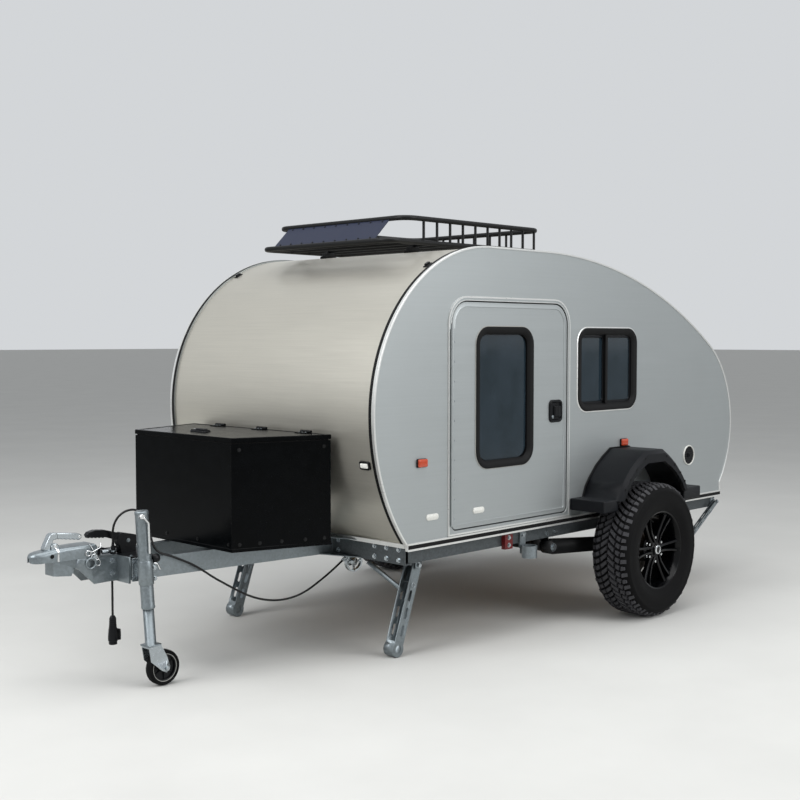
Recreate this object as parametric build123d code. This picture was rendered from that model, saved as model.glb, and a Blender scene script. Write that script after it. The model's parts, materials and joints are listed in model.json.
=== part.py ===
from build123d import *
import math
import os

# Teardrop trailer. Millimetres, +X forward to the hitch, +Y to the trailer's left, +Z up.
# Every place below is written from the cabin's middle. The saved pieces are moved back by
# frame_shift, so that the origin is on the ground below the middle of the whole object's box.
frame_shift = 690

# Cabin
body_width = 1550
wall = 30
skin = 24
skin_inset = 8
floor_z = 555
floor_thick = 25
roof_z = 1965
nose_x = 1640
nose_z = 1165
nose_foot_x = 1425
nose_radius = 800
roof_flat_rear_x = 400
roof_radius = 3050
tail_x = -1520
tail_radius = 590
tail_foot_z = 620
half = body_width / 2

# Doors, one on each side
door_rear_x = 212
door_front_x = 1118
door_low_z = 598
door_high_z = 1690
door_corner = 105
door_low_corner = 30
door_gap = 6
door_hinge_x = 1126
door_hinge_out = 11
door_window_x = 720
door_window_z = 1223
door_window_w = 450
door_window_h = 700
door_window_corner = 90
handle_x = 307
handle_z = 1135

# Side windows
side_window_x = -167
side_window_z = 1346
side_window_w = 560
side_window_h = 450
side_window_corner = 70
window_flange = 22

# Rear hatch
hatch_hinge_x = -760
hatch_low_z = 640
hatch_gap = 6
hatch_side_gap = 7

# Chassis
rail_low_z = 465
rail_high_z = floor_z
rail_y = 715
rail_w = 50
sheet = 5

# Drawbar
bar_front_x = 2500
bar_rear_x = 560
bar_front_y = 120
bar_rear_y = 345
bar_flange = 45
head_front_x = 2700
coupling_ball_x = 2860
coupling_z = 572
coupling_h = 56
ball_bore_r = 25.3

# Jockey wheel, leaning back at its foot
jockey_x = 2469
jockey_y = 217
jockey_z = 520
jockey_lean = 4
tube_r = 30
stem_r = 24
stem_gap = 0.5
jockey_wheel_r = 78
jockey_wheel_w = 42
castor_trail = 52

# Cords' ends on the drawbar head
plug_lead_r = 5
plug_x = 2523
plug_y = 40
lead_top = 455

# Toolbox
box_front_x = 2123
box_rear_x = 1668
box_front_half = 376
box_rear_half = 524
box_low_z = 567
box_high_z = 1049
box_sheet = 4
lid_gap = 5
lid_thick = 20

# Roof rack
rack_half = 480
rack_low_z = 1990
rack_high_z = 2107
rack_front_low_x = 1250
rack_front_high_x = 1130
rack_rear_x = 64
rack_tube_r = 13
rack_bar_r = 7
rack_bar_step = 121
rack_foot_y = 320

# Wheels
wheel_x = -262
tyre_r = 365
tyre_w = 235
tyre_outer_y = 1083
rim_r = 192
wheel_y = tyre_outer_y - tyre_w / 2

# Legs
front_leg_x = 1213
front_leg_y = 610
front_leg_z = 425
front_leg_w = 60
front_foot_r = 38
front_leg_lean = 19
rear_leg_x = -1370
rear_leg_y = 761
rear_leg_z = 496
rear_leg_w = 26
rear_foot_r = 24
rear_leg_lean = 58
rear_leg_down = 16.8  # lean at which the folding leg stands on the ground

os.makedirs("parts", exist_ok=True)


def save(name, shape):
    export_step(Pos(-frame_shift, 0, 0) * shape, "parts/" + name + ".step")


def save_pair(name, shape):
    """A piece of the left side, and its mirror image on the right."""
    save(name + "_left", shape)
    save(name + "_right", mirror(shape, about=Plane.XZ))


def both_sides(shape):
    return Compound(solids_of(shape) + solids_of(mirror(shape, about=Plane.XZ)))


def solids_of(shape):
    return list(shape.solids())


def group(*shapes):
    """Solids that don't touch, kept in one node."""
    found = []
    for shape in shapes:
        found.extend(solids_of(shape))
    return Compound(found)


def block(low, high):
    size = [b - a for a, b in zip(low, high)]
    middle = [(a + b) / 2 for a, b in zip(low, high)]
    return Pos(*middle) * Box(*size)


def side_slab(face, y_low, y_high):
    """A face drawn in x and z, made a slab between two y values."""
    return Pos(0, y_high, 0) * Rot(90, 0, 0) * extrude(face, y_high - y_low)


def flat_slab(face, z_low, z_high):
    return Pos(0, 0, z_low) * extrude(face, z_high - z_low)


def rounded(x, y, w, h, corner):
    return Pos(x, y) * RectangleRounded(w, h, corner)


def rod(start, end, radius, bore=0):
    start, end = Vector(*start), Vector(*end)
    way = end - start
    plane = Plane(origin=start, z_dir=way)
    face = Circle(radius) - Circle(bore) if bore else Circle(radius)
    return extrude(plane * face, way.length)


def bent_tube(points, bend, radius):
    path = FilletPolyline(*points, radius=bend)
    section = Plane(origin=path @ 0, z_dir=path % 0) * Circle(radius)
    return sweep(section, path=path)


# The cabin's side outline: an arc up to the nose, the nose arc, a flat stretch of roof,
# the long roof arc and the tail arc. An inset shrinks every arc about its own centre.
nose_low_r = ((nose_x - nose_foot_x) ** 2 + (nose_z - floor_z) ** 2) / (2 * (nose_x - nose_foot_x))
tail_centre_x = tail_x + tail_radius
tail_centre_z = roof_z - roof_radius + math.sqrt(
    (roof_radius - tail_radius) ** 2 - (roof_flat_rear_x - tail_centre_x) ** 2)


def on_circle(centre, radius, degrees):
    angle = math.radians(degrees)
    return (centre[0] + radius * math.cos(angle), centre[1] + radius * math.sin(angle))


def cabin_outline(inset):
    low_c = (nose_x - nose_low_r, nose_z)
    low_r = nose_low_r - inset
    high_c = (nose_x - nose_radius, roof_z - nose_radius)
    high_r = nose_radius - inset
    roof_c = (roof_flat_rear_x, roof_z - roof_radius)
    roof_r = roof_radius - inset
    tail_c = (tail_centre_x, tail_centre_z)
    tail_r = tail_radius - inset
    foot_angle = math.degrees(math.asin((floor_z - low_c[1]) / low_r))
    join = math.degrees(math.atan2(tail_c[1] - roof_c[1], tail_c[0] - roof_c[0]))
    tail_foot = 180 - math.degrees(math.asin((tail_foot_z - tail_c[1]) / tail_r))
    foot = on_circle(low_c, low_r, foot_angle)
    tail_end = on_circle(tail_c, tail_r, tail_foot)
    edges = [
        ThreePointArc(foot, on_circle(low_c, low_r, foot_angle / 2), on_circle(low_c, low_r, 0)),
        ThreePointArc(on_circle(high_c, high_r, 0), on_circle(high_c, high_r, 45), on_circle(high_c, high_r, 90)),
        Line(on_circle(high_c, high_r, 90), on_circle(roof_c, roof_r, 90)),
        ThreePointArc(on_circle(roof_c, roof_r, 90), on_circle(roof_c, roof_r, (90 + join) / 2),
                      on_circle(roof_c, roof_r, join)),
        ThreePointArc(on_circle(tail_c, tail_r, join), on_circle(tail_c, tail_r, (join + tail_foot) / 2), tail_end),
        Line(tail_end, (tail_end[0], floor_z)),
        Line((tail_end[0], floor_z), foot),
    ]
    return make_face(edges)


def doorway(gap):
    """The door's outline, grown by a gap: round upper corners, small lower ones."""
    w = door_front_x - door_rear_x + 2 * gap
    h = door_high_z - door_low_z + 2 * gap
    x = (door_front_x + door_rear_x) / 2
    z = (door_high_z + door_low_z) / 2
    face = Pos(x, z) * Rectangle(w, h)
    face = fillet(face.vertices().group_by(Axis.Y)[-1], door_corner + gap)
    return fillet(face.vertices().group_by(Axis.Y)[0], door_low_corner + gap)


def window_hole(x, z, w, h, corner):
    return rounded(x, z, w - 2 * window_flange, h - 2 * window_flange, corner - window_flange)


def window_frame(x, z, w, h, corner, y_in, y_out):
    """A flange on the outside and a sleeve through the wall, with the pane's opening."""
    pane = rounded(x, z, w - 4 * window_flange + 8, h - 4 * window_flange + 8, corner - window_flange)
    flange = side_slab(rounded(x, z, w, h, corner) - pane, y_out, y_out + 9)
    sleeve = side_slab(window_hole(x, z, w, h, corner) - pane, y_in, y_out)
    return flange + sleeve


def window_pane(x, z, w, h, corner, y_mid):
    pane = rounded(x, z, w - 4 * window_flange + 8, h - 4 * window_flange + 8, corner - window_flange)
    return side_slab(pane, y_mid - 3, y_mid + 3)


outer_face = cabin_outline(0)
side_window = (side_window_x, side_window_z, side_window_w, side_window_h, side_window_corner)
door_window = (door_window_x, door_window_z, door_window_w, door_window_h, door_window_corner)

# Side walls, with the doorway and the window cut through
wall_face = outer_face - doorway(door_gap) - window_hole(*side_window)
wall_left = side_slab(wall_face, half - wall, half)
save_pair("side_wall", wall_left)

# Skin over the nose and roof, and the sill below the hatch
inner_half = half - wall
ring_face = cabin_outline(skin_inset) - cabin_outline(skin_inset + skin)
front_part = Pos(hatch_hinge_x + 2500, 1500) * Rectangle(5000, 3000)
save("cabin_skin", side_slab(ring_face & front_part, -inner_half, inner_half))
sill_part = Pos(-1500, hatch_low_z - hatch_gap - 500) * Rectangle(2000, 1000)
save("rear_sill", side_slab(ring_face & sill_part, -inner_half, inner_half))

# Floor, bulkhead and galley worktop
skin_in = skin_inset + skin
floor_front = nose_x - nose_low_r + math.sqrt((nose_low_r - skin_in) ** 2 - (nose_z - floor_z) ** 2)
floor_rear = tail_centre_x - math.sqrt((tail_radius - skin_in) ** 2 - (tail_foot_z - tail_centre_z) ** 2)
floor = block((floor_rear, -inner_half, floor_z), (floor_front, inner_half, floor_z + floor_thick))
save("cabin_floor", floor)
bulkhead_x = -956
bulkhead_area = Pos(bulkhead_x, 1290) * Rectangle(12, 2 * (1290 - floor_z - floor_thick))
bulkhead = side_slab(cabin_outline(skin_in) & bulkhead_area, -inner_half, inner_half)
worktop = block((-1430, -inner_half + 8, 1040), (bulkhead_x - 6, inner_half - 8, 1060))
save("galley_bulkhead", bulkhead + worktop)

# Edge trim round each side wall, proud of it, and the base strip under the wall
trim_w = 16
trim_face = cabin_outline(0) - cabin_outline(trim_w)
trim = side_slab(trim_face, half, half + 4)
strip_low_z = 528
strip = block((-1393, half - 12, strip_low_z), (nose_foot_x - 3, half + 6, floor_z))
save("edge_trims", both_sides(group(trim, strip)))

# Door frames, side windows
frame_face = doorway(26) - doorway(door_gap)
hinge_room = block((door_front_x + door_gap - 1, half - 5, door_low_z - 10), (door_hinge_x + 12, half + 20, 1600))
door_frame = side_slab(frame_face, half, half + 4) - hinge_room
save("door_frames", both_sides(door_frame))
side_frame = window_frame(*side_window, half - wall, half)
divider = block((side_window_x + 8, half - 16, side_window_z - 200), (side_window_x + 26, half + 6, side_window_z + 200))
side_frame = side_frame + divider
save("side_window_frames", both_sides(side_frame))
side_glass = window_pane(*side_window, half - 20)
save("side_window_glass", both_sides(side_glass))

# Doors with their windows, handles and long hinges
door_leaf = side_slab(doorway(0) - window_hole(*door_window), half - wall, half)
barrel = rod((door_hinge_x, half + door_hinge_out, door_low_z + 20),
             (door_hinge_x, half + door_hinge_out, door_high_z - 130), 7)
barrel_leaf = block((door_hinge_x - 30, half, door_low_z + 20),
                    (door_hinge_x - 4, half + 5, door_high_z - 130))
barrel_step = block((door_hinge_x - 10, half, door_low_z + 20),
                    (door_hinge_x - 4, half + door_hinge_out + 4, door_high_z - 130))
door_left = door_leaf + barrel_leaf + barrel_step + barrel
door_frame_window = window_frame(*door_window, half - wall, half)
door_glass = window_pane(*door_window, half - 20)
handle_plate = side_slab(rounded(handle_x, handle_z, 110, 116, 16), half, half + 9)
handle_cup = side_slab(rounded(handle_x - 4, handle_z - 2, 78, 84, 10), half + 4, half + 9)
handle_paddle = side_slab(rounded(handle_x - 8, handle_z - 4, 62, 66, 8), half + 4, half + 16)
handle = handle_plate - handle_cup + handle_paddle
save_pair("door", door_left)
save_pair("door_glass", door_glass)
save_pair("door_fittings", group(door_frame_window, handle))

# Rear hatch
hatch_half = inner_half - hatch_side_gap
hatch_part = Pos(hatch_hinge_x - hatch_gap - 1000, hatch_low_z + 1000) * Rectangle(2000, 2000)
hatch = side_slab(ring_face & hatch_part, -hatch_half, hatch_half)
hatch_axis_x = hatch_hinge_x - hatch_gap / 2
hatch_axis_lift = 5.6  # above the skin
hatch_axis_r = roof_radius - skin_inset + hatch_axis_lift
hatch_slope = math.asin((roof_flat_rear_x - hatch_axis_x) / hatch_axis_r)
hatch_axis_z = roof_z - roof_radius + hatch_axis_r * math.cos(hatch_slope)
hatch_barrel = rod((hatch_axis_x, 50 - hatch_half, hatch_axis_z), (hatch_axis_x, hatch_half - 50, hatch_axis_z), 5)
hatch_leaf = block((-40, 50 - hatch_half, -hatch_axis_lift - 1), (-3.2, hatch_half - 50, -2))
hatch_leaf = Pos(hatch_axis_x, 0, hatch_axis_z) * Rot(0, -math.degrees(hatch_slope), 0) * hatch_leaf
hatch = hatch + hatch_barrel + hatch_leaf
print("hatch axis", round(hatch_axis_x, 1), round(hatch_axis_z, 1))
save("hatch", hatch)
hatch_handle_z = 760
hatch_skin_x = tail_centre_x - math.sqrt(
    (tail_radius - skin_inset) ** 2 - (hatch_handle_z - tail_centre_z) ** 2)
hatch_handle = block((hatch_skin_x - 10, -70, hatch_handle_z - 25), (hatch_skin_x + 14, 70, hatch_handle_z + 25))
hatch_handle = hatch_handle - side_slab(cabin_outline(skin_inset), -200, 200)
save("hatch_handle", hatch_handle)

# Chassis: hollow rails and cross members
def box_rail(low, high, along):
    outer = block(low, high)
    inner_low = [a + (0 if i == along else sheet) for i, a in enumerate(low)]
    inner_high = [b - (0 if i == along else sheet) for i, b in enumerate(high)]
    return outer - block(inner_low, inner_high)


rail_front_x = 1380
rail_rear_x = -1385
side_rail = box_rail((rail_rear_x, rail_y - rail_w / 2, rail_low_z),
                     (rail_front_x, rail_y + rail_w / 2, rail_high_z), 0)
save("chassis_side_rails", both_sides(side_rail))

member_half = half - 15
front_member = block((rail_front_x, -member_half, rail_low_z), (rail_front_x + 42, member_half, rail_high_z))
front_member = front_member - block((rail_front_x - 1, -half, rail_low_z + sheet),
                                    (rail_front_x + 42 - sheet, half, rail_high_z - sheet))
members = [front_member]
inner_y = rail_y - rail_w / 2
member_table = (  # middle x, width
    (bar_rear_x - 25, 50),
    (-560, 50),
    (-1360, 50),
)
for x, w in member_table:
    members.append(box_rail((x - w / 2, -inner_y, rail_low_z + 15), (x + w / 2, inner_y, rail_high_z), 1))
save("chassis_cross_members", group(*members))

# Drawbar: two channels that close up to the head
bar_angle = math.degrees(math.atan2(bar_rear_y - bar_front_y, bar_front_x - bar_rear_x))
bar_length = math.hypot(bar_rear_y - bar_front_y, bar_front_x - bar_rear_x)
bar_h = rail_high_z - rail_low_z
channel = block((0, -bar_flange / 2, 0), (bar_length, bar_flange / 2, bar_h))
channel = channel - block((-1, -bar_flange / 2 - 1, sheet), (bar_length + 1, bar_flange / 2 - sheet, bar_h - sheet))
bar_place = Pos(bar_rear_x, bar_rear_y, rail_low_z) * Rot(0, 0, -bar_angle)
drawbar_left = bar_place * channel
front_notch = block((rail_front_x - 0.5, -700, rail_low_z - 1), (rail_front_x + 42.5, 700, rail_high_z + 1))
drawbar_left = drawbar_left - front_notch
drawbar_left = drawbar_left - block((0, -700, 400), (bar_rear_x, 700, 700))
drawbar_left = drawbar_left - block((bar_front_x, -700, 400), (bar_front_x + 100, 700, 700))
bearer = block((box_rear_x + 30, -300, rail_high_z), (box_rear_x + 80, 300, box_low_z))
bearer_front = block((box_front_x - 90, -250, rail_high_z), (box_front_x - 40, 250, box_low_z))
save("drawbar_rails", drawbar_left + mirror(drawbar_left, about=Plane.XZ) + bearer + bearer_front)

# Drawbar head: end plate, housing with a sloped front, and the short block under the coupling
head_side = make_face(Polyline((bar_front_x + 8, rail_low_z - 8), (2622, rail_low_z - 10), (head_front_x, 532),
                               (head_front_x, coupling_z), (bar_front_x + 8, coupling_z), close=True))
head = side_slab(head_side, -56, 56)
head_inner = make_face(Polyline((bar_front_x + 14, rail_low_z - 20), (2612, rail_low_z - 20), (head_front_x - 6, 526),
                                (head_front_x - 6, coupling_z - 10), (bar_front_x + 14, coupling_z - 10), close=True))
head = head - side_slab(head_inner, -50, 50)
end_plate = block((bar_front_x, -150, rail_low_z - 12), (bar_front_x + 8, 150, rail_high_z + 12))
nose_side = make_face(Polyline((head_front_x, coupling_z), (2804, coupling_z), (2804, 510),
                               (2720, 500), (head_front_x, 532), close=True))
nose_block = side_slab(nose_side, -34, 34)
lead_strap = block((plug_x - 12, plug_y - 14, lead_top), (plug_x + 12, 54, lead_top + 15))
cable_start = (2520, 44, coupling_z + 20)
cable_gland = rod((cable_start[0], cable_start[1], coupling_z), cable_start, 8)
link = Pos(2640, 62, 548) * Rot(90, 0, 0) * Torus(22, 5)
link_lug = block((2632, 52, 560), (2648, 64, 572))
link = link - side_slab(head_side, -56, 56)
head = head + end_plate + nose_block + lead_strap + cable_gland + link_lug + link
save("drawbar_head", head)

# Ball coupling: a pressed body that narrows to a round nose, with the ball's socket below
coupling_plan = make_hull([*(Pos(2640, 0) * Rectangle(80, 108)).edges(),
                           *(Pos(coupling_ball_x, 0) * Circle(40)).edges()])
coupling_body = flat_slab(coupling_plan, coupling_z, coupling_z + coupling_h)
coupling_body = fillet(coupling_body.faces().sort_by(Axis.Z)[-1].edges(), 12)
socket_depth = 32
socket = Pos(coupling_ball_x, 0, coupling_z + socket_depth / 2 - 1) * Cylinder(ball_bore_r, socket_depth + 2)
throat = block((2706, -36, coupling_z - 1), (2796, 36, coupling_z + 34))
nose_lip = Pos(coupling_ball_x, 0, coupling_z - 9) * Cylinder(38, 18)
nose_lip = nose_lip - block((2700, -60, 500), (coupling_ball_x - 29.5, 60, coupling_z))
coupling_body = coupling_body - throat + nose_lip
coupling_body = coupling_body - Pos(coupling_ball_x, 0, coupling_z) * Cylinder(ball_bore_r, 2 * socket_depth)
save("coupling", coupling_body)
lever_hub = block((2784, -22, coupling_z + coupling_h), (2820, 22, 646))
lever_arm = side_slab(make_face(Polyline((2786, 640), (2820, 640), (2806, 682), (2794, 692), (2662, 668),
                                         (2656, 655), (2772, 672), close=True)), -17, 17)
save("coupling_lever", lever_hub + lever_arm)

# Handbrake: bracket with a quadrant, lever and grip
brake_y = 20
brake_bracket = side_slab(make_face(Polyline((2400, 568), (2476, 568), (2484, 640), (2466, 672),
                                             (2418, 672), (2396, 630), close=True)), brake_y - 20, brake_y + 20)
brake_base = block((2380, -140, rail_high_z), (2496, 140, 568))
brake_lever = rod((2450, brake_y, 650), (2520, brake_y, 668), 11)
brake_grip = bent_tube([(2510, brake_y, 666), (2560, brake_y, 681), (2632, brake_y, 672)], 60, 14)
brake_link = rod((2478, brake_y, 600), (2582, brake_y, 588), 7)
brake_foot = block((2570, brake_y - 12, coupling_z), (2590, brake_y + 12, 592))
save("handbrake", brake_base + brake_bracket + brake_lever + brake_grip + brake_link + brake_foot)

# Jockey wheel, drawn upright about its own axis and then leaned
def lean(shape):
    return Pos(jockey_x, jockey_y, jockey_z) * Rot(0, jockey_lean, 0) * shape


tube_low = -172
tube_high = 232
outer_tube = Pos(0, 0, (tube_low + tube_high) / 2) * (
    Cylinder(tube_r, tube_high - tube_low) - Cylinder(stem_r + stem_gap, tube_high - tube_low + 2))
cap = Pos(0, 0, tube_high + 4) * Cylinder(tube_r + 2, 8)
crank_head = Pos(0, 0, tube_high + 17) * Cylinder(12, 18)
save("jockey_tube", lean(outer_tube + cap + crank_head))
crank = bent_tube([(0, 0, tube_high + 34), (0, 42, tube_high + 34), (0, 44, tube_high - 60)], 16, 6)
crank = crank + rod((0, 0, tube_high + 26), (0, 0, tube_high + 44), 9)
save("jockey_crank", lean(crank))

stem_low = -330
stem_high = 60
stem = rod((0, 0, stem_low), (0, 0, stem_high), stem_r)
stem_plate = block((-32, -34, stem_low - 6), (32, 34, stem_low))
save("jockey_stem", lean(stem + stem_plate))

axle_drop = stem_low - 6 - 1.5
lean_angle = math.radians(jockey_lean)
wheel_centre_z = (jockey_wheel_r - jockey_z) / math.cos(lean_angle) - castor_trail * math.tan(lean_angle)
fork_top = block((-36, -30, axle_drop - 6), (28, 30, axle_drop))
cheek_edge = ((-36, axle_drop - 6), (28, axle_drop - 6), (22, wheel_centre_z + 44), (-castor_trail + 24, wheel_centre_z - 6),
              (-castor_trail, wheel_centre_z - 20), (-castor_trail - 20, wheel_centre_z), (-castor_trail - 8, wheel_centre_z + 50))
cheek = side_slab(make_face(Polyline(*cheek_edge, close=True)), 26, 30)
fork_pin = rod((-castor_trail, -34, wheel_centre_z), (-castor_trail, 34, wheel_centre_z), 6)
fork = fork_top + cheek + mirror(cheek, about=Plane.XZ) + fork_pin
save("jockey_fork", lean(fork))
tread = Pos(-castor_trail, 0, wheel_centre_z) * Rot(90, 0, 0) * (
    Cylinder(jockey_wheel_r, jockey_wheel_w) - Cylinder(6.3, jockey_wheel_w + 2))
tread = fillet(tread.edges().filter_by(GeomType.CIRCLE).group_by(SortBy.RADIUS)[-1], 6)
save("jockey_wheel", lean(tread))

clamp_low = -66
clamp_high = 40
clamp_ring = Pos(0, 0, (clamp_low + clamp_high) / 2) * (
    Cylinder(tube_r + 8, clamp_high - clamp_low) - Cylinder(tube_r, clamp_high - clamp_low + 2))
clamp_ears = block((-44, -8, clamp_low + 8), (-30, 8, clamp_high - 8))
clamp_handle = rod((-44, 0, -14), (-60, 0, -14), 8) + rod((-60, -26, -14), (-60, 26, -14), 6)
clamp_along = (jockey_x - bar_rear_x) / math.cos(math.radians(bar_angle))
clamp_plate = bar_place * block((clamp_along - 66, bar_flange / 2, -6), (clamp_along + 20, bar_flange / 2 + 7, bar_h + 6))
clamp_web = bar_place * block((clamp_along - 34, bar_flange / 2 + 7, 8), (clamp_along - 2, bar_flange / 2 + 40, bar_h - 6))
jockey_clamp = lean(clamp_ring + clamp_ears + clamp_handle) + clamp_plate + clamp_web
jockey_clamp = jockey_clamp - lean(Cylinder(tube_r, 700))
save("jockey_clamp", jockey_clamp)

# Toolbox, narrower towards the hitch, with a lid hinged at its rear edge
def box_plan(inset):
    return make_face(Polyline((box_rear_x + inset, -box_rear_half + inset), (box_rear_x + inset, box_rear_half - inset),
                              (box_front_x - inset, box_front_half - inset),
                              (box_front_x - inset, -box_front_half + inset), close=True))


toolbox = flat_slab(box_plan(0), box_low_z, box_high_z) - flat_slab(box_plan(box_sheet), box_low_z + box_sheet, box_high_z + 1)
box_lip = flat_slab(box_plan(0) - box_plan(22), box_high_z - 4, box_high_z)
save("toolbox", toolbox + box_lip)
lid_low = box_high_z + lid_gap
lid_plate = flat_slab(box_plan(0), lid_low, lid_low + lid_thick)
lid_plate = lid_plate - flat_slab(box_plan(26), lid_low - 1, lid_low + lid_thick - 4)
lid_hinge_x = box_rear_x + 6
lid_hinge_z = lid_low + lid_thick + 6
hinge_ys = (-293, 35, 360)
for y in hinge_ys:
    lid_plate = lid_plate + rod((lid_hinge_x, y - 35, lid_hinge_z), (lid_hinge_x, y + 35, lid_hinge_z), 6)
    lid_plate = lid_plate + block((lid_hinge_x, y - 35, lid_low + lid_thick), (lid_hinge_x + 40, y + 35, lid_low + lid_thick + 4))
latch = block((box_front_x - 175, -110, lid_low + lid_thick), (box_front_x - 130, -10, lid_low + lid_thick + 10))
latch = fillet(latch.edges().filter_by(Axis.Z), 10)
save("toolbox_lid", lid_plate + latch)

# Roof rack: two rings of tube joined by uprights, floor bars, and a tilted panel at the front
def ring_tube(front_x, z, radius):
    face = Pos((front_x + rack_rear_x) / 2, 0, z) * RectangleRounded(front_x - rack_rear_x, 2 * rack_half, 70)
    path = face.face().outer_wire()
    section = Plane(origin=path @ 0, z_dir=path % 0) * Circle(radius)
    return sweep(section, path=path)


basket = ring_tube(rack_front_low_x, rack_low_z, rack_tube_r) + ring_tube(rack_front_high_x, rack_high_z, rack_tube_r)
upright_count = 10
upright_first_x = 1000
upright_step = 98
for i in range(upright_count):
    x = upright_first_x - i * upright_step
    for side in (1, -1):
        basket = basket + rod((x, side * rack_half, rack_low_z), (x, side * rack_half, rack_high_z), rack_bar_r)
for i in range(7):
    y = -360 + 120 * i
    basket = basket + rod((rack_rear_x, y, rack_low_z), (rack_rear_x, y, rack_high_z), rack_bar_r)
for i in range(9):
    x = rack_rear_x + rack_bar_step * (i + 1)
    basket = basket + rod((x, -rack_half, rack_low_z), (x, rack_half, rack_low_z), rack_bar_r + 2)
panel_gap = rack_tube_r + 0.1
panel_way = Vector(rack_front_high_x - rack_front_low_x, 0, rack_high_z - rack_low_z)
panel_plane = Plane(origin=((rack_front_low_x + rack_front_high_x) / 2, 0, (rack_low_z + rack_high_z) / 2),
                    x_dir=(0, 1, 0), z_dir=Vector(0, 1, 0).cross(panel_way))
panel = extrude(panel_plane * Rectangle(2 * rack_half - 200, panel_way.length - 2 * panel_gap), 3)
save("rack_deflector", panel)


def roof_top(x):
    """Height of the skin's outside at a place along the roof."""
    if x > nose_x - nose_radius:
        return roof_z - nose_radius + math.sqrt((nose_radius - skin_inset) ** 2 - (x - nose_x + nose_radius) ** 2)
    if x > roof_flat_rear_x:
        return roof_z - skin_inset
    return roof_z - roof_radius + math.sqrt((roof_radius - skin_inset) ** 2 - (x - roof_flat_rear_x) ** 2)


cabin_solid = side_slab(cabin_outline(skin_inset), -half, half)
for x, low_x in ((911, 951), (548, 548), (185, 145)):  # middle, lowest place of the roof under the foot
    for side in (1, -1):
        y = side * rack_foot_y
        pad = block((x - 40, y - 24, roof_top(low_x) - 8), (x + 40, y + 24, rack_low_z))
        basket = basket + (pad - cabin_solid)
save("rack_basket", basket)

# Fenders: a faceted arch of constant section with an outer band, and a block at each end
fender_out_y = 1020
fender_band = 24
fender_sheet = 6
fender_chamfer = 20
fender_middle_x = -285
fender_foot_z = 655
hollow_foot_z = 555
fender_rise = ((36, 712), (-4, 762), (-60, 818), (-124, 864), (-196, 905))  # x, z up the front half
arch_rise = ((-20, 712), (-75, 765), (-130, 803), (-200, 839))  # x, z of the wheel opening's front half


def arch_outline(foot_x, foot_z, rise):
    """An outline over the wheel, the same before and behind the fender's middle."""
    front = [(foot_x, foot_z), *rise]
    rear = [(2 * fender_middle_x - x, z) for x, z in reversed(front)]
    return make_face(Polyline(*front, *rear, close=True))


fender_solid = side_slab(arch_outline(60, fender_foot_z, fender_rise), half, fender_out_y)
outer_edges = [e for e in fender_solid.faces().sort_by(Axis.Y)[-1].edges() if e.center().Z > fender_foot_z + 5]
fender_solid = chamfer(outer_edges, fender_chamfer)
hollow_face = offset(arch_outline(102, hollow_foot_z, fender_rise), -fender_sheet, kind=Kind.INTERSECTION)
hollow = side_slab(hollow_face, half - 1, fender_out_y - fender_band)
arch = side_slab(arch_outline(85, hollow_foot_z, arch_rise), half - 1, fender_out_y + 1)
fender_block_y = 995
front_block = fillet(block((40, half, 600), (172, fender_block_y, 662)).edges(), 6)
rear_block = fillet(block((-790, half, 600), (-612, fender_block_y, 666)).edges(), 6)
fender_left = fender_solid - hollow - arch + front_block + rear_block
save_pair("fender", fender_left)

# Trailing arms on a cross tube, with stub axles
pivot_x = 290
pivot_z = 412
arm_y = 726
axle_r = 22
arm_side = make_hull([*(Pos(pivot_x, pivot_z) * Circle(38)).edges(), *(Pos(wheel_x, tyre_r) * Circle(34)).edges()])
arm = side_slab(arm_side, arm_y - 30, arm_y + 30)
arm = arm + rod((wheel_x, arm_y + 20, tyre_r), (wheel_x, wheel_y - 10, tyre_r), axle_r)
arm = arm + rod((wheel_x, arm_y + 20, tyre_r), (wheel_x, wheel_y - 148, tyre_r), 42)
pivot_tube = rod((pivot_x, -arm_y - 30, pivot_z), (pivot_x, arm_y + 30, pivot_z), 30)
arm_bracket = block((pivot_x - 45, inner_y - 30, pivot_z - 17), (pivot_x + 45, inner_y, rail_high_z))
bump_stop = rod((wheel_x + 62, arm_y, rail_low_z), (wheel_x + 62, arm_y, 390), 24)
arm = arm + arm_bracket + bump_stop
save("trailing_arms", arm + mirror(arm, about=Plane.XZ) + pivot_tube)

# Tyres and wheels, turned about their own axis
def turned(profile, y_middle):
    """A profile drawn as (radius, width offset), turned about the wheel's axis."""
    body = revolve(Plane.XY * make_face(profile), Axis.Y)
    return Pos(wheel_x, y_middle, tyre_r) * body


tyre_half_edge = (  # radius, distance from the tyre's middle
    (rim_r, 86),
    (rim_r + 30, 104),
    (rim_r + 92, tyre_w / 2),
    (tyre_r - 36, tyre_w / 2 - 8),
    (tyre_r - 8, tyre_w / 2 - 20),
    (tyre_r, tyre_w / 2 - 40),
)
tyre_other_edge = [(r, -y) for r, y in reversed(tyre_half_edge)]
tyre_profile = Polyline(*tyre_half_edge, *tyre_other_edge, close=True)
tyre = turned(tyre_profile, wheel_y)
rim_ring = revolve(make_face(Polyline((rim_r - 0.5, -88), (rim_r - 0.5, 88), (rim_r + 10, 100), (rim_r - 6, 100),
                                      (rim_r - 22, 78), (rim_r - 22, -78), (rim_r - 6, -96), (rim_r + 6, -96),
                                      close=True)), Axis.Y)
hub = Rot(90, 0, 0) * Cylinder(62, 20)
hub = Pos(0, 66, 0) * hub
spokes = hub
spoke_count = 6
spoke_plan = make_face(Polyline((40, -30), (rim_r - 16, -44), (rim_r - 16, -28), (60, -8), close=True))
spoke_twin = make_face(Polyline((40, 30), (rim_r - 16, 44), (rim_r - 16, 28), (60, 8), close=True))
spoke_pair = extrude(spoke_plan, 22) + extrude(spoke_twin, 22)
for i in range(spoke_count):
    spokes = spokes + Pos(0, 54, 0) * Rot(0, i * 360 / spoke_count, 0) * Rot(-90, 0, 0) * spoke_pair
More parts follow.
